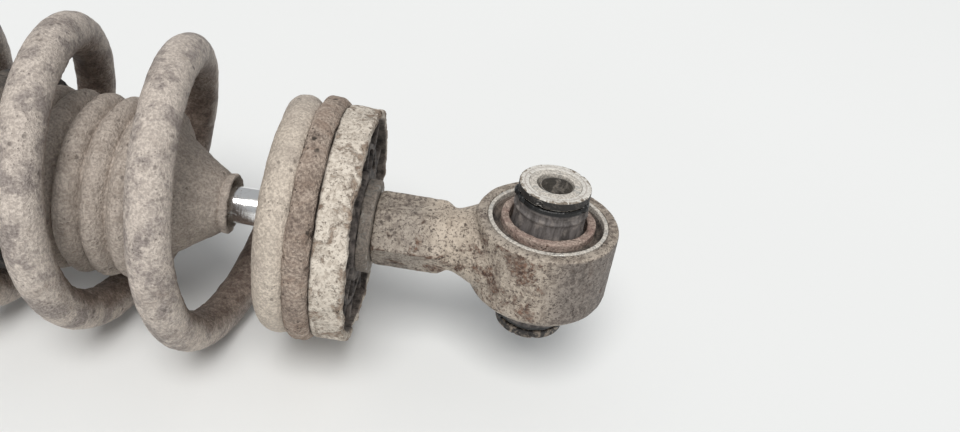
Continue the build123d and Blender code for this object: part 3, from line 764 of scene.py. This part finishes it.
def bar_mesh(name, x0, x1, flats, radius):
    """Hexagonal bar with flats facing up and down: at each angle the distance to the nearest flat, limited
    by a turned radius that chamfers the corners at both ends."""
    angle = np.arange(180) * TWO_PI / 180
    to_flat = flats / 2 / np.cos((angle + math.pi / 6) % (math.pi / 3) - math.pi / 6)
    run = np.array([0, 0.6, 1.2, 2.0, 8, 16, 24, 29, 31, 33, 36]) / 36
    along = x0 + (x1 - x0) * run
    limit = radius + np.array([-1.0, -0.35, 0.2, 0.6, 1, 1, 1, 0.8, 0.3, -0.5, -2.0]) * MM
    reach = np.minimum(to_flat[None, :], limit[:, None])
    grid = np.stack([along[:, None] + 0 * reach, reach * np.sin(angle), reach * np.cos(angle)], axis=-1)
    return face_outwards(sheet_mesh(name, grid, False, True, True))


def flare_mesh(name, centre, side, start, half_y, half_z, ring):
    """Neck that widens into the ring: ellipses whose half width and half height follow the given
    (share, value) tables, carried from the start plane to a cylinder about the eye axis inside the ring."""
    share = np.linspace(0, 1, 60)
    angle = np.arange(144) * TWO_PI / 144
    width = np.interp(share, *half_y)[:, None]
    height = np.interp(share, *half_z)[:, None]
    y, z = width * np.sin(angle), height * np.cos(angle)
    end = centre + side * np.sqrt(np.maximum(ring ** 2 - y ** 2, (4 * MM) ** 2))
    x = start + (end - start) * share[:, None]
    return face_outwards(sheet_mesh(name, np.stack([x, y, z], axis=-1), False, True, True))


def eye_skin(name, meshes, voxel, seed, centre, facing):
    """Forged skin: the parts fused on a voxel grid, softened, then dented and pitted by noise. The
    damp_unshaded attribute falls away on the side of the eye that faces out from the strut, where the
    material paints shade."""
    skin = remeshed(merged(name, meshes), voxel, 7)
    skin.name = name
    roughened(skin, 0.05, 0.13, seed, 1.2, 8.0, 0.22, 3.4)
    points, normals = places(skin)
    store(skin, "flank", step(1 - np.abs(normals[:, 2]), 0.25, 0.8))
    from_eye = np.hypot(points[:, 0] - centre, points[:, 1])
    store(skin, "stem", step(from_eye, 20 * MM, 27 * MM) * step(from_eye, 44 * MM, 34 * MM))
    outward = step(points[:, 0] * facing, (centre - 2 * MM) * facing, (centre + 9 * MM) * facing)
    # low on the eye's outer side, where the material paints shade; high where rust gathers
    store(skin, "damp_unshaded", 1 - 0.75 * outward)
    return skin


# ---------------------------------------------------------------- finishes

def spring_finish(c):
    """Painted wire under pale dust with grey smudges on the outside and darker sandy dust inside, the
    darkness there partly painted shade.
    """
    material, wires, shader, place = start_material("spring_paint")
    inward = stored(wires, "inward")
    clouds = wires.noise(place, 95.0, 4.0, 0.62, 0.3)
    smudge = wires.band(wires.plus(clouds, wires.times(wires.noise(place, 420.0, 3.0, 0.7), 0.35)),
                        0.62, 0.80)
    outside = wires.mix(wires.times(smudge, 0.7), rgb(c.spring_dust), rgb(c.spring_shade))
    # painted shade: the side facing the axis gets darker sandy colours, partly dust and partly painted shade
    inside = wires.mix(wires.band(wires.noise(place, 260.0, 3.0, 0.7), 0.35, 0.7), (0.20, 0.15, 0.125),
                       (0.37, 0.30, 0.25))
    edge = wires.plus(inward, wires.times(wires.minus(clouds, 0.5), 0.9))
    base = wires.mix(wires.band(edge, -0.15, 0.65), outside, inside)
    base = wires.mix(wires.times(stored(wires, "seated"), 0.8), base, (0.72, 0.635, 0.535))
    dusty = use_effect(wires, dust_effect(), {
        "Vector": place, "Base": base, "Dust": rgb(c.spring_dust), "Dust Shade": (0.40, 0.335, 0.29),
        "Amount": 0.34, "Grain": 0.9})
    pitted = use_effect(wires, pit_effect(), {"Vector": place, "Base": dusty["Color"],
                                              "Dark": (0.07, 0.055, 0.048), "Scale": 260.0, "Amount": 0.6})
    shader.inputs["Specular IOR Level"].default_value = 0.25
    height = wires.plus(dusty["Height"], wires.times(pitted["Height"], 0.6))
    finish_surface(wires, shader, pitted["Color"], dusty["Roughness"], height, 0.55 * MM)
    return material


def plate_finish(c):
    """Black ribbed plastic under grey dust, with an ivory crust where the rim attribute is set."""
    material, wires, shader, place = start_material("plate_plastic")
    rim, raised, behind = stored(wires, "rim"), stored(wires, "raised"), stored(wires, "behind")
    film = wires.mix(wires.band(wires.noise(place, 300.0, 4.0, 0.7), 0.35, 0.68), (0.035, 0.03, 0.028),
                     (0.21, 0.18, 0.16))
    dark = wires.mix(wires.times(wires.minus(1.0, raised), 0.9), film, (0.012, 0.011, 0.010))
    flakes = wires.noise(place, 170.0, 5.0, 0.68, 0.5)
    specks = wires.noise(place, 700.0, 3.0, 0.7)
    tan = wires.mix(wires.band(specks, 0.3, 0.7), (0.20, 0.145, 0.11), (0.42, 0.34, 0.27))
    pale = wires.mix(wires.band(specks, 0.35, 0.62), (0.47, 0.41, 0.345), rgb(c.crust_pale))
    bare = wires.plus(flakes, wires.times(behind, 0.06))
    crust = wires.mix(wires.band(bare, 0.50, 0.62), pale, tan)
    crumbs = wires.band(wires.noise(place, 1150.0, 3.0, 0.75), 0.53, 0.66)
    crust = wires.mix(wires.times(crumbs, 0.8), crust, (0.11, 0.083, 0.065))
    crust = wires.mix(wires.band(wires.plus(bare, wires.times(specks, 0.25)), 0.76, 0.84),
                      crust, (0.05, 0.038, 0.03))
    color = wires.mix(rim, dark, crust)
    height = wires.plus(wires.times(wires.band(bare, 0.60, 0.50), rim), specks)
    shader.inputs["Specular IOR Level"].default_value = 0.3
    finish_surface(wires, shader, color, wires.plus(0.72, wires.times(rim, 0.2)), height, 0.3 * MM)
    return material


def forged_finish(c):
    """Forged steel: a grey-beige film with fine pits, rust that gathers on the upright flanks, and painted
    shade on the flanks that face out from the strut.
    """
    material, wires, shader, place = start_material("forged_steel")
    flank = stored(wires, "flank")
    cloud = wires.noise(place, 75.0, 4.0, 0.6, 0.4)
    speck = wires.noise(place, 520.0, 4.0, 0.72)
    film = wires.mix(wires.band(speck, 0.40, 0.60), (0.15, 0.12, 0.10), rgb(c.steel_dust))
    film = wires.mix(wires.times(wires.band(cloud, 0.42, 0.62), 0.7), film, (0.44, 0.385, 0.325))
    film = wires.mix(wires.times(stored(wires, "stem"), 0.5), film, (0.72, 0.61, 0.49))
    # painted shade: the upright flanks on the eye's outer side turn dark grey-brown
    outer_painted_shade = wires.times(wires.minus(1.0, stored(wires, "damp_unshaded")), wires.times(flank, 0.95))
    dull = wires.mix(wires.band(speck, 0.40, 0.62), (0.06, 0.050, 0.048), (0.165, 0.142, 0.132))
    film = wires.mix(outer_painted_shade, film, dull)
    grit = wires.band(wires.noise(place, 1050.0, 4.0, 0.78), 0.51, 0.61)
    film = wires.mix(wires.times(grit, 0.85), film, (0.065, 0.048, 0.04))
    streak = wires.noise(wires.stretched(place, (1.0, 1.0, 0.22)), 230.0, 4.0, 0.7, 0.4)
    amount = wires.plus(0.22, wires.times(wires.times(flank, stored(wires, "damp_unshaded")), 0.30))
    rusty = use_effect(wires, rust_effect(), {"Vector": place, "Base": film, "Deep": rgb(c.rust_deep),
                                              "Light": rgb(c.rust_light), "Scale": 110.0, "Amount": amount})
    through = wires.band(wires.noise(place, 700.0, 3.0, 0.7), 0.44, 0.58)
    color = wires.mix(wires.times(through, 0.6), rusty["Color"], film)
    color = wires.mix(wires.times(wires.times(wires.band(streak, 0.52, 0.68), flank), 0.5),
                      color, (0.12, 0.085, 0.065))
    pitted = use_effect(wires, pit_effect(), {"Vector": place, "Base": color, "Scale": 420.0, "Amount": 0.75,
                                              "Dark": (0.05, 0.035, 0.028)})
    height = wires.plus(wires.times(speck, 0.8), wires.times(rusty["Height"], 0.6))
    height = wires.plus(height, wires.times(pitted["Height"], 0.8))
    rough = wires.plus(0.58, wires.times(rusty["Mask"], 0.3))
    shader.inputs["Metallic"].default_value = 0.0
    shader.inputs["Specular IOR Level"].default_value = 0.4
    finish_surface(wires, shader, pitted["Color"], rough, height, 0.6 * MM)
    return material


def chrome_finish(c):
    """Hard chrome with fine turning marks, pale smears and brown rust specks."""
    material, wires, shader, place = start_material("rod_chrome")
    lines = wires.noise(wires.stretched(place, (9.0, 1.0, 1.0)), 260.0, 3.0, 0.6)
    smear = wires.band(wires.noise(place, 210.0, 4.0, 0.65, 0.8), 0.50, 0.72)
    specks = wires.band(wires.cells(place, 520.0), 0.10, 0.24, 1.0, 0.0)
    specks = wires.times(specks, wires.band(wires.noise(place, 120.0, 2.0), 0.40, 0.58))
    color = wires.mix(wires.times(smear, 0.6), rgb(c.chrome), (0.62, 0.57, 0.50))
    color = wires.mix(specks, color, rgb(c.rust_deep))
    rough = wires.plus(0.13, wires.times(smear, 0.28))
    rough = wires.plus(rough, wires.times(specks, 0.4), True)
    wires.set(shader.inputs["Metallic"], wires.minus(1.0, wires.times(specks, 0.8)))
    finish_surface(wires, shader, color, rough, wires.minus(lines, specks), 0.02 * MM)
    return material


def worn_steel(name, color, dirt, dirt_color, roughness=0.34):
    """Bare steel with turning marks around its own axis, dull wear and dirt in patches."""
    material, wires, shader, place = start_material(name)
    lines = wires.noise(wires.stretched(place, (0.5, 0.5, 7.0)), 300.0, 3.0, 0.6)
    patch = wires.noise(place, 240.0, 4.0, 0.7, 0.5)
    fine = wires.noise(place, 1300.0, 2.0, 0.7)
    edge = 0.80 - 0.55 * dirt
    mask = wires.band(wires.plus(patch, wires.times(wires.minus(fine, 0.5), 0.25)),
                      edge - 0.08, edge + 0.08)
    dull = wires.mix(wires.band(lines, 0.35, 0.68), tuple(v * 0.72 for v in color), color)
    soil = wires.mix(wires.band(fine, 0.35, 0.65), tuple(v * 0.5 for v in dirt_color), dirt_color)
    wires.set(shader.inputs["Metallic"], wires.minus(0.85, wires.times(mask, 0.85)))
    rough = wires.plus(roughness, wires.times(mask, 0.45))
    shader.inputs["Specular IOR Level"].default_value = 0.5
    height = wires.plus(wires.times(lines, 0.4), wires.times(mask, 0.8))
    finish_surface(wires, shader, wires.mix(mask, dull, soil), rough, height, 0.10 * MM)
    return material


def collar_finish(c):
    """Off-white worn collar: pale scale rubbed through to dark steel in chips along its edges."""
    material, wires, shader, place = start_material("collar_steel")
    chips = wires.noise(place, 420.0, 5.0, 0.72, 0.4)
    fine = wires.noise(place, 1500.0, 2.0, 0.7)
    wear = wires.plus(chips, wires.times(stored(wires, "edge"), 0.13))
    pale = wires.mix(wires.band(fine, 0.35, 0.65), (0.60, 0.57, 0.52), (0.82, 0.79, 0.73))
    pale = wires.mix(wires.times(stored(wires, "groove"), 0.6), pale, (0.26, 0.19, 0.16))
    color = wires.mix(wires.band(wear, 0.58, 0.66), pale, (0.27, 0.225, 0.18))
    side = wires.mix(wires.band(chips, 0.56, 0.70), (0.022, 0.020, 0.019), (0.34, 0.31, 0.27))
    color = wires.mix(stored(wires, "side"), color, side)
    color = wires.mix(wires.band(wear, 0.70, 0.78), color, (0.025, 0.02, 0.018))
    lower = wires.mix(wires.band(chips, 0.47, 0.58), (0.03, 0.026, 0.024), (0.30, 0.25, 0.20))
    color = wires.mix(stored(wires, "low"), color, lower)
    shader.inputs["Metallic"].default_value = 0.15
    finish_surface(wires, shader, color, wires.plus(0.42, wires.times(chips, 0.3)), chips, 0.22 * MM)
    return material


def boot_finish(c):
    """Dusty rubber with upright streaks, and a dark glossy torn lip where the lip attribute is set."""
    material, wires, shader, place = start_material("boot_rubber")
    streak = wires.noise(wires.stretched(place, (1.0, 1.0, 0.16)), 620.0, 4.0, 0.7, 0.3)
    dust = wires.noise(place, 240.0, 4.0, 0.65)
    color = wires.mix(wires.band(streak, 0.34, 0.66), (0.075, 0.066, 0.062), rgb(c.rubber))
    color = wires.mix(wires.times(wires.band(dust, 0.48, 0.66), 0.7), color, (0.30, 0.265, 0.24))
    color = wires.mix(stored(wires, "lip"), color, (0.010, 0.010, 0.010))
    rough = wires.minus(0.78, wires.times(stored(wires, "lip"), 0.42))
    shader.inputs["Specular IOR Level"].default_value = 0.4
    finish_surface(wires, shader, color, rough, wires.plus(streak, dust), 0.22 * MM)
    return material


def make_finishes(c):
    """All materials by the record's slot: finishes of their own, weathered coats and worn bare steels."""
    own = {"spring_paint": spring_finish, "plate_plastic": plate_finish, "forged_steel": forged_finish,
           "rod_chrome": chrome_finish, "collar_steel": collar_finish, "boot_rubber": boot_finish}
    coats = {
        "stop_foam": ((0.46, 0.40, 0.35), rgb(c.stop_dust), (0.43, 0.37, 0.32), 0.60, 0.8,
                      dict(pits=0.45, pit_scale=300.0, depth=0.5)),
        "isolator_rubber": ((0.21, 0.16, 0.13), rgb(c.isolator_dust), (0.33, 0.25, 0.20), 0.60, 0.9,
                            dict(pits=0.9, pit_scale=230.0, depth=0.7)),
        "plate_paint": ((0.04, 0.038, 0.036), (0.33, 0.28, 0.24), (0.2, 0.17, 0.15), 0.48, 0.4,
                        dict(rust=0.25, pits=0.5)),
        "damper_paint": ((0.032, 0.03, 0.029), (0.30, 0.255, 0.22), (0.17, 0.145, 0.125), 0.42, 0.35,
                         dict(rust=0.2, pits=0.4)),
        "rusty_steel": ((0.24, 0.165, 0.135), (0.60, 0.49, 0.42), (0.34, 0.24, 0.205), 0.62, 0.9,
                        dict(rust=0.30, pits=0.9, rust_scale=420.0, pit_scale=520.0,
                             light=(0.30, 0.18, 0.135))),
        "bush_rubber": ((0.035, 0.03, 0.027), (0.24, 0.20, 0.17), (0.15, 0.12, 0.10), 0.52, 0.35,
                        dict(pits=0.4)),
        "seal_rubber": ((0.010, 0.010, 0.010), (0.05, 0.045, 0.04), (0.03, 0.028, 0.026), 0.15, 0.1,
                        dict(depth=0.08, specular=0.5)),
        "sintered_steel": ((0.15, 0.145, 0.14), (0.24, 0.23, 0.22), (0.17, 0.165, 0.16), 0.3, 0.4,
                           dict(pits=0.6, pit_scale=900.0, depth=0.12, metallic=0.6, specular=0.5)),
        "bush_plastic": ((0.15, 0.10, 0.06), (0.22, 0.16, 0.11), (0.18, 0.12, 0.08), 0.25, 0.3,
                         dict(depth=0.08, specular=0.5)),
    }
    steels = {
        "sleeve_steel": ((0.84, 0.81, 0.75), 0.72, (0.70, 0.65, 0.58)),
        "liner_steel": ((0.46, 0.43, 0.39), 0.40, (0.30, 0.26, 0.22), 0.45),
        "zinc_steel": ((0.42, 0.39, 0.35), 0.66, (0.30, 0.255, 0.215)),
        "spring_steel": ((0.17, 0.17, 0.18), 0.25, (0.14, 0.11, 0.09)),
        "guide_aluminium": ((0.66, 0.66, 0.67), 0.08, (0.30, 0.28, 0.26), 0.28),
    }
    made = {slot: build(c) for slot, build in own.items()}
    made.update({slot: weathered(slot, *values, **extra) for slot, (*values, extra) in coats.items()})
    made.update({slot: worn_steel(slot, *values) for slot, values in steels.items()})
    return made


def finish(slot):
    """The material of a slot, made with all the others on first use."""
    made = bpy.data.materials.get("used_" + slot)
    return made if made else make_finishes(colours())[slot]


# ---------------------------------------------------------------- operators, one for each piece or like group

class BuildSpring(Operator):
    """Build the coil spring between its two seats"""
    bl_idname = "coilover.build_spring"
    bl_label = "Coil spring"

    def execute(self, context):
        s = sizes()
        low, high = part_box("coil_spring")
        bottom, top = low[0] + s.wire_radius, high[0] - s.wire_radius
        mesh = spring_mesh(s, top, bottom)
        piece = add_piece("coil_spring_wire", mesh, finish("spring_paint"), "coil_spring")
        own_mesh(piece)
        return {"FINISHED"}


class BuildBumpStop(Operator):
    """Build the folded foam bump stop"""
    bl_idname = "coilover.build_bump_stop"
    bl_label = "Bump stop"

    def execute(self, context):
        s = sizes()
        base, tip, bore, _ = turned_size("bump_stop")
        mesh = lathe("bump_stop", stop_outline(s, base, tip, bore), segments=300)

        def worn(points):
            total = 0.14 * rough_noise(points, 1.8 * MM, 41, 2) + 0.32 * rough_noise(points, 16 * MM, 43, 2)
            return (total - 0.5 * step(rough_noise(points, 5 * MM, 47, 3), 0.72, 0.95)) * MM

        displace(mesh, worn)
        piece = add_piece("bump_stop_foam", mesh, finish("stop_foam"), "bump_stop")
        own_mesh(piece)
        return {"FINISHED"}


class BuildIsolators(Operator):
    """Build the two rubber rings between the spring's end turns and the plates"""
    bl_idname = "coilover.build_isolators"
    bl_label = "Isolators"

    def execute(self, context):
        for node, side, seed in (("upper_isolator", 1, 101), ("lower_isolator", -1, 131)):
            mesh = lathe(node, isolator_outline(node, sizes(), side), segments=360)
            roughened(mesh, 0.12, 0.30, seed, 1.3, 9.0, 0.9, 3.8)
            add_piece(node + "_rubber", mesh, finish("isolator_rubber"), node)
        return {"FINISHED"}


class BuildUpperPlate(Operator):
    """Build the ribbed upper spring plate with its crusted rim"""
    bl_idname = "coilover.build_upper_plate"
    bl_label = "Upper spring plate"

    def execute(self, context):
        add_piece("upper_plate", upper_plate_mesh(sizes()), finish("plate_plastic"), "upper_spring_plate")
        return {"FINISHED"}


class BuildTurnedParts(Operator):
    """Build the turned pieces on the strut axis: washers, piston rod, tube, lower plate and cup"""
    bl_idname = "coilover.build_turned_parts"
    bl_label = "Turned pieces"

    def execute(self, context):
        for node, corners, seed in self.outlines():
            spacing = {"piston_rod": 4.0, "damper_tube": 1.3}.get(node, 0.9)
            outline = rounded(corners, 0.5 * MM, spacing * MM)
            mesh = lathe(node, outline, segments=240)
            if seed is not None:
                roughened(mesh, 0.07, 0.10, seed)
            add_piece(node + "_piece", mesh, finish(SLOTS[node]), node)
        return {"FINISHED"}

    def outlines(self):
        """(node, corners, seed) of each closed (along, radius) outline, taken from the CAD nodes. The rod
        has no seed, as its surface stays smooth, and leaves a fine core open so that its outline can turn."""
        made = []
        for seed, node in ((201, "clamp_washer"), (211, "strike_washer")):
            x0, x1, r0, r1 = turned_size(node)
            made.append((node, [(x0, r0), (x0, r1), (x1, r1), (x1, r0)], seed))
        inner, stud, _, rod = turned_size("piston_rod")
        pilot, shoulder = turned_size("rebound_washer")[1], turned_size("strike_washer")[0]
        bore = turned_size("strike_washer")[2]
        core = 0.3 * MM
        made.append(("piston_rod", [
            (inner, core), (inner, bore), (pilot, bore), (pilot, rod), (shoulder, rod), (shoulder, bore),
            (stud, bore), (stud, core)], None))
        x0, x1, r0, r1 = turned_size("damper_tube")
        bore = r1 - 2.5 * MM
        made.append(("damper_tube", [(x0, bore), (x0, r1), (x1, r1), (x1, bore)], 251))
        x0, x1, r0, r1 = turned_size("lower_spring_plate")
        lip = turned_size("lower_isolator")[3] + 0.3 * MM
        face = x0 + 3.5 * MM
        plate = [(x0, r0), (x0, r1), (x1, r1), (x1, lip), (face, lip), (face, r0)]
        made.append(("lower_spring_plate", plate, 221))
        x0, x1, r0, r1 = turned_size("bump_stop_cup")
        sleeve = turned_size("damper_tube")[3]
        wall, skirt = 2 * MM, 12 * MM
        made.append(("bump_stop_cup", [
            (x1, r0), (x1, r1), (x1 - skirt, r1), (x1 - skirt, r1 - wall), (x1 - wall, r1 - wall),
            (x1 - wall, sleeve + wall), (x0, sleeve + wall), (x0, sleeve), (x1 - wall, sleeve),
            (x1 - wall, r0)], 231))
        return made


class BuildEyes(Operator):
    """Build the forged rod eye with its hexagonal stem and the welded body eye"""
    bl_idname = "coilover.build_eyes"
    bl_label = "Eyes"

    def execute(self, context):
        s = sizes()
        for end in ("rod", "body"):
            sleeve = end + "_end_outer_sleeve"
            centre, low, high, _, bore = upright_size(sleeve)
            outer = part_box(end + "_eye")[1][1]
            ring = ring_mesh("ring", centre, outer, bore, (high - low) / 2)
            if end == "rod":
                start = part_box("rod_eye")[0][0]
                hex_end = start + s.hex_length
                neck = s.neck_radius
                bar = bar_mesh("bar", start, hex_end + 2.6 * MM, s.hex_flats, 12.1 * MM)
                along = [0, 0.2, 0.32, 0.5, 0.7, 0.86, 1]
                half_y = [neck, neck, neck, neck + 1.0 * MM, neck + 3.6 * MM, 17.0 * MM, 18.6 * MM]
                half_z = [neck, neck, neck, neck + 0.3 * MM, neck + 1.2 * MM, 12.4 * MM, 12.9 * MM]
                flare = flare_mesh("flare", centre, -1, hex_end - 3 * MM, (along, half_y), (along, half_z),
                                   bore + 1.9 * MM)
                parts = [ring, bar, flare]
            else:
                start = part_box("body_eye")[1][0]
                flare = flare_mesh("flare", centre, 1, start, ([0, 0.3, 1], [16 * MM, 16 * MM, 16.5 * MM]),
                                   ([0, 0.3, 1], [16 * MM, 15.6 * MM, 13.2 * MM]), bore + 1.9 * MM)
                parts = [ring, flare]
            skin = eye_skin(end + "_eye_skin", parts, 0.5 * MM, 301 if end == "rod" else 331, centre,
                            1 if end == "rod" else -1)
            add_piece(end + "_eye_forging", skin, finish("forged_steel"), end + "_eye")
        return {"FINISHED"}


class BuildBushes(Operator):
    """Build the bushes in both eyes: sleeves, rubber, rusty ring, boot, collars and the loose liner"""
    bl_idname = "coilover.build_bushes"
    bl_label = "Bushes"

    def execute(self, context):
        for end, seed in (("rod_end", 400), ("body_end", 450)):
            self.sleeves(end, seed)
            self.rubber(end, seed)
            self.boot(end, seed)
            self.collars(end, seed)
        centre, low, high, r0, r1 = upright_size("rod_end_bolt_liner")
        self.upright("rod_end_bolt_liner", ring_corners(r0, r1, low, high), centre, 0.12 * MM, 0.5 * MM,
                     0.02, 0.04, 490)
        return {"FINISHED"}

    def upright(self, node, corners, centre, radius, spacing, fine, wide, seed, segments=180):
        """Lathes an upright (radius, height) outline with rounded corners and roughens it."""
        mesh = lathe(node, rounded(corners, radius, spacing), centre, segments)
        roughened(mesh, fine, wide, seed)
        return add_piece(node + "_piece", mesh, finish(SLOTS[node]), node)

    def sleeves(self, end, seed):
        for part, fine in (("_outer_sleeve", 0.03), ("_inner_sleeve", 0.025)):
            centre, low, high, r0, r1 = upright_size(end + part)
            self.upright(end + part, ring_corners(r0, r1, low, high), centre, 0.35 * MM, 0.9 * MM,
                         fine, 0.03, seed + 3)
        centre, low, high, r0, r1 = upright_size(end + "_interleaf_ring")
        self.upright(end + "_interleaf_ring", ring_corners(r0, r1, low, high), centre, 0.7 * MM,
                     0.6 * MM, 0.12, 0.22, seed + 5, 240)

    def rubber(self, end, seed):
        """Ring of rubber whose ends dish in between sleeve and rusty ring."""
        centre, low, high, r0, r1 = upright_size(end + "_outer_rubber")
        r = np.linspace(r0, r1, 9)
        dish = (1.6 * MM) * np.sin(math.pi * (r - r0) / (r1 - r0)) ** 0.8
        lower, upper = np.stack([r, low + dish], axis=1), np.stack([r[::-1], high - dish[::-1]], axis=1)
        outline = np.concatenate([lower, upper])
        mesh = lathe(end + "_outer_rubber", outline, centre, 180)
        roughened(mesh, 0.08, 0.15, seed + 7)
        add_piece(end + "_outer_rubber_piece", mesh, finish("bush_rubber"), end + "_outer_rubber")

    def boot(self, end, seed):
        """Boot profile mirrored above and below: a foot, a waist, one soft fold and a lip that is torn
        into uneven flaps by a noise of the angle."""
        centre, _, high, r0, _ = upright_size(end + "_boot")
        half = [(11.9, -0.6), (11.9, -2.2), (11.7, -3.0), (11.75, -4.0), (12.2, -4.7), (12.1, -5.2),
                (11.75, -5.9), (11.75, -7.4), (11.8, -9.0), (11.85, -10.6), (11.95, -12.0), (12.15, -13.0),
                (12.4, -13.8)]
        up = np.array([(r0, high), (11.4 * MM, high)] + [(r * MM, high + z * MM) for r, z in half])
        t = np.linspace(0, len(up) - 1, 90)
        smooth = np.stack([np.interp(t, np.arange(len(up)), up[:, k]) for k in (0, 1)], axis=1)
        kernel = np.array([1, 3, 5, 3, 1]) / 13
        inside = smooth[6:].copy()
        padded = np.concatenate([inside[:1].repeat(2, 0), inside, inside[-1:].repeat(2, 0)])
        smooth[6:] = sum(kernel[k] * padded[k:k + len(inside)] for k in range(5))
        lower = smooth[::-1] * np.array([1, -1])
        mesh = lathe(end + "_boot", np.concatenate([smooth, lower]), centre, 260)

        def torn(points):
            angle = np.arctan2(points[:, 1], points[:, 0] - centre)
            ring = np.stack([np.cos(angle) * 3, np.sin(angle) * 3, points[:, 2] * 0], axis=1)
            flap = step(rough_noise(ring, 0.9, seed + 13, 3), 0.0, 0.5)
            lip = step(np.abs(points[:, 2]), high - 1.9 * MM, high - 1.1 * MM)
            outer = step(np.hypot(points[:, 0] - centre, points[:, 1]), 10.0 * MM, 10.6 * MM)
            folds = np.stack([points[:, 0], points[:, 1], points[:, 2] * 0.25], axis=1)
            crease = 0.16 * rough_noise(folds, 1.7 * MM, seed + 17, 2)
            return outer * (lip * (flap - 0.25) + crease) * MM

        displace(mesh, torn)
        points, _ = places(mesh)
        store(mesh, "lip", step(np.abs(points[:, 2]), high - 2.2 * MM, high - 1.4 * MM))
        add_piece(end + "_boot_rubber", mesh, finish("boot_rubber"), end + "_boot")

    def collars(self, end, seed):
        """Collars with edges nibbled away by noise; the lower one is dark."""
        for part, low_one in (("_upper_collar", 0.0), ("_lower_collar", 1.0)):
            centre, low, high, r0, r1 = upright_size(end + part)
            corners = ring_corners(r0, r1, low, high)
            mesh = lathe(end + part, rounded(corners, 0.5 * MM, 0.24 * MM), centre, 260)

            def nibbled(points):
                radius = np.hypot(points[:, 0] - centre, points[:, 1])
                edge = step(radius, r1 - 1.0 * MM, r1 - 0.1 * MM)
                chips = step(rough_noise(points, 2.6 * MM, seed + 19, 3), 0.35, 0.8)
                return (0.05 * rough_noise(points, 1.0 * MM, seed + 21, 2) - 0.5 * chips * edge) * MM

            displace(mesh, nibbled)
            points, normals = places(mesh)
            radius = np.hypot(points[:, 0] - centre, points[:, 1])
            store(mesh, "edge", step(radius, r1 - 1.4 * MM, r1 - 0.2 * MM))
            store(mesh, "side", step(1 - np.abs(normals[:, 2]), 0.35, 0.8))
            store(mesh, "groove", step(np.abs(radius - 9.9 * MM), 0.22 * MM, 0.05 * MM))
            store(mesh, "low", np.full(len(points), low_one))
            add_piece(end + part + "_piece", mesh, finish("collar_steel"), end + part)


class FinishFramePieces(Operator):
    """Give every CAD piece that stays its material"""
    bl_idname = "coilover.finish_frame_pieces"
    bl_label = "Finishes"

    def execute(self, context):
        for node, piece in frame["nodes"].items():
            piece.data.materials.clear()
            piece.data.materials.append(finish(SLOTS[node]))
        return {"FINISHED"}


class SetStage(Operator):
    """Put up the pale floor, the soft lights and the camera"""
    bl_idname = "coilover.set_stage"
    bl_label = "Stage"

    def execute(self, context):
        scene = context.scene
        s, c = sizes(), colours()
        side = np.linspace(-FLOOR_HALF, FLOOR_HALF, 25)
        across, along, level = side[:, None] + 0.2, side[None, :], np.array(-s.floor_drop)
        grid = np.stack(np.broadcast_arrays(across, along, level), axis=-1)
        mesh = sheet_mesh("floor", grid, False, False)
        floor = bpy.data.objects.new("floor", mesh)
        if mesh.polygons[0].normal.z < 0:
            mesh.flip_normals()
        scene.collection.objects.link(floor)
        material, wires, shader, place = start_material("floor_paper")
        grain = wires.noise(place, 700.0, 3.0, 0.6)
        cloud = wires.noise(place, 3.0, 2.0, 0.5)
        tint = wires.mix(wires.band(cloud, 0.3, 0.7), rgb(c.floor), tuple(v * 0.985 for v in c.floor))
        shader.inputs["Specular IOR Level"].default_value = 0.2
        finish_surface(wires, shader, tint, wires.plus(0.7, wires.times(grain, 0.1)), grain, 0.02 * MM)
        mesh.materials.append(material)
        world = bpy.data.worlds.new("studio")
        world.use_nodes = True
        back = world.node_tree.nodes["Background"]
        back.inputs["Color"].default_value = SKY_COLOUR
        back.inputs["Strength"].default_value = SKY_STRENGTH
        scene.world = world
        lamp = bpy.data.lights.new("key", "SUN")
        lamp.energy = SUN_STRENGTH
        lamp.angle = SUN_SPREAD
        lamp.color = SUN_COLOUR
        holder = bpy.data.objects.new("key", lamp)
        holder.matrix_world = Vector(SUN_DIRECTION).to_track_quat("-Z", "Y").to_matrix().to_4x4()
        scene.collection.objects.link(holder)
        camera = bpy.data.cameras.new("camera")
        camera.lens = s.lens
        camera.sensor_width = SENSOR_WIDTH
        camera.sensor_fit = "HORIZONTAL"
        camera.clip_start = 0.01
        right = Vector(CAMERA_RIGHT).normalized()
        ahead = Vector(CAMERA_AHEAD)
        ahead = (ahead - right * ahead.dot(right)).normalized()
        down = ahead.cross(right)
        turn = Matrix((right, -down, -ahead)).transposed().to_4x4()
        holder = bpy.data.objects.new("camera", camera)
        holder.matrix_world = Matrix.Translation(CAMERA_PLACE) @ turn
        scene.collection.objects.link(holder)
        scene.camera = holder
        scene.view_settings.view_transform = "Standard"
        return {"FINISHED"}


BUILDERS = (FinishFramePieces, BuildSpring, BuildBumpStop, BuildIsolators, BuildUpperPlate, BuildTurnedParts,
            BuildEyes, BuildBushes, SetStage)


class CoiloverPanel(Panel):
    """Lists the builders with the sizes and colours"""
    bl_idname = "VIEW3D_PT_coilover"
    bl_label = "Coilover strut"
    bl_space_type = "VIEW_3D"
    bl_region_type = "UI"
    bl_category = "Coilover"

    def draw(self, context):
        for builder in BUILDERS:
            self.layout.operator(builder.bl_idname)
        for group in (context.scene.coilover_sizes, context.scene.coilover_colours):
            column = self.layout.column()
            for name in type(group).__annotations__:
                column.prop(group, name)


CLASSES = (CoiloverSizes, CoiloverColours, *BUILDERS, CoiloverPanel)


def register():
    for one in CLASSES:
        bpy.utils.register_class(one)
    bpy.types.Scene.coilover_sizes = PointerProperty(type=CoiloverSizes)
    bpy.types.Scene.coilover_colours = PointerProperty(type=CoiloverColours)


def unregister():
    del bpy.types.Scene.coilover_colours
    del bpy.types.Scene.coilover_sizes
    for one in reversed(CLASSES):
        bpy.utils.unregister_class(one)


def main():
    register()
    for builder in BUILDERS:
        group, name = builder.bl_idname.split(".")
        getattr(getattr(bpy.ops, group), name)()


if __name__ == "__main__":
    main()
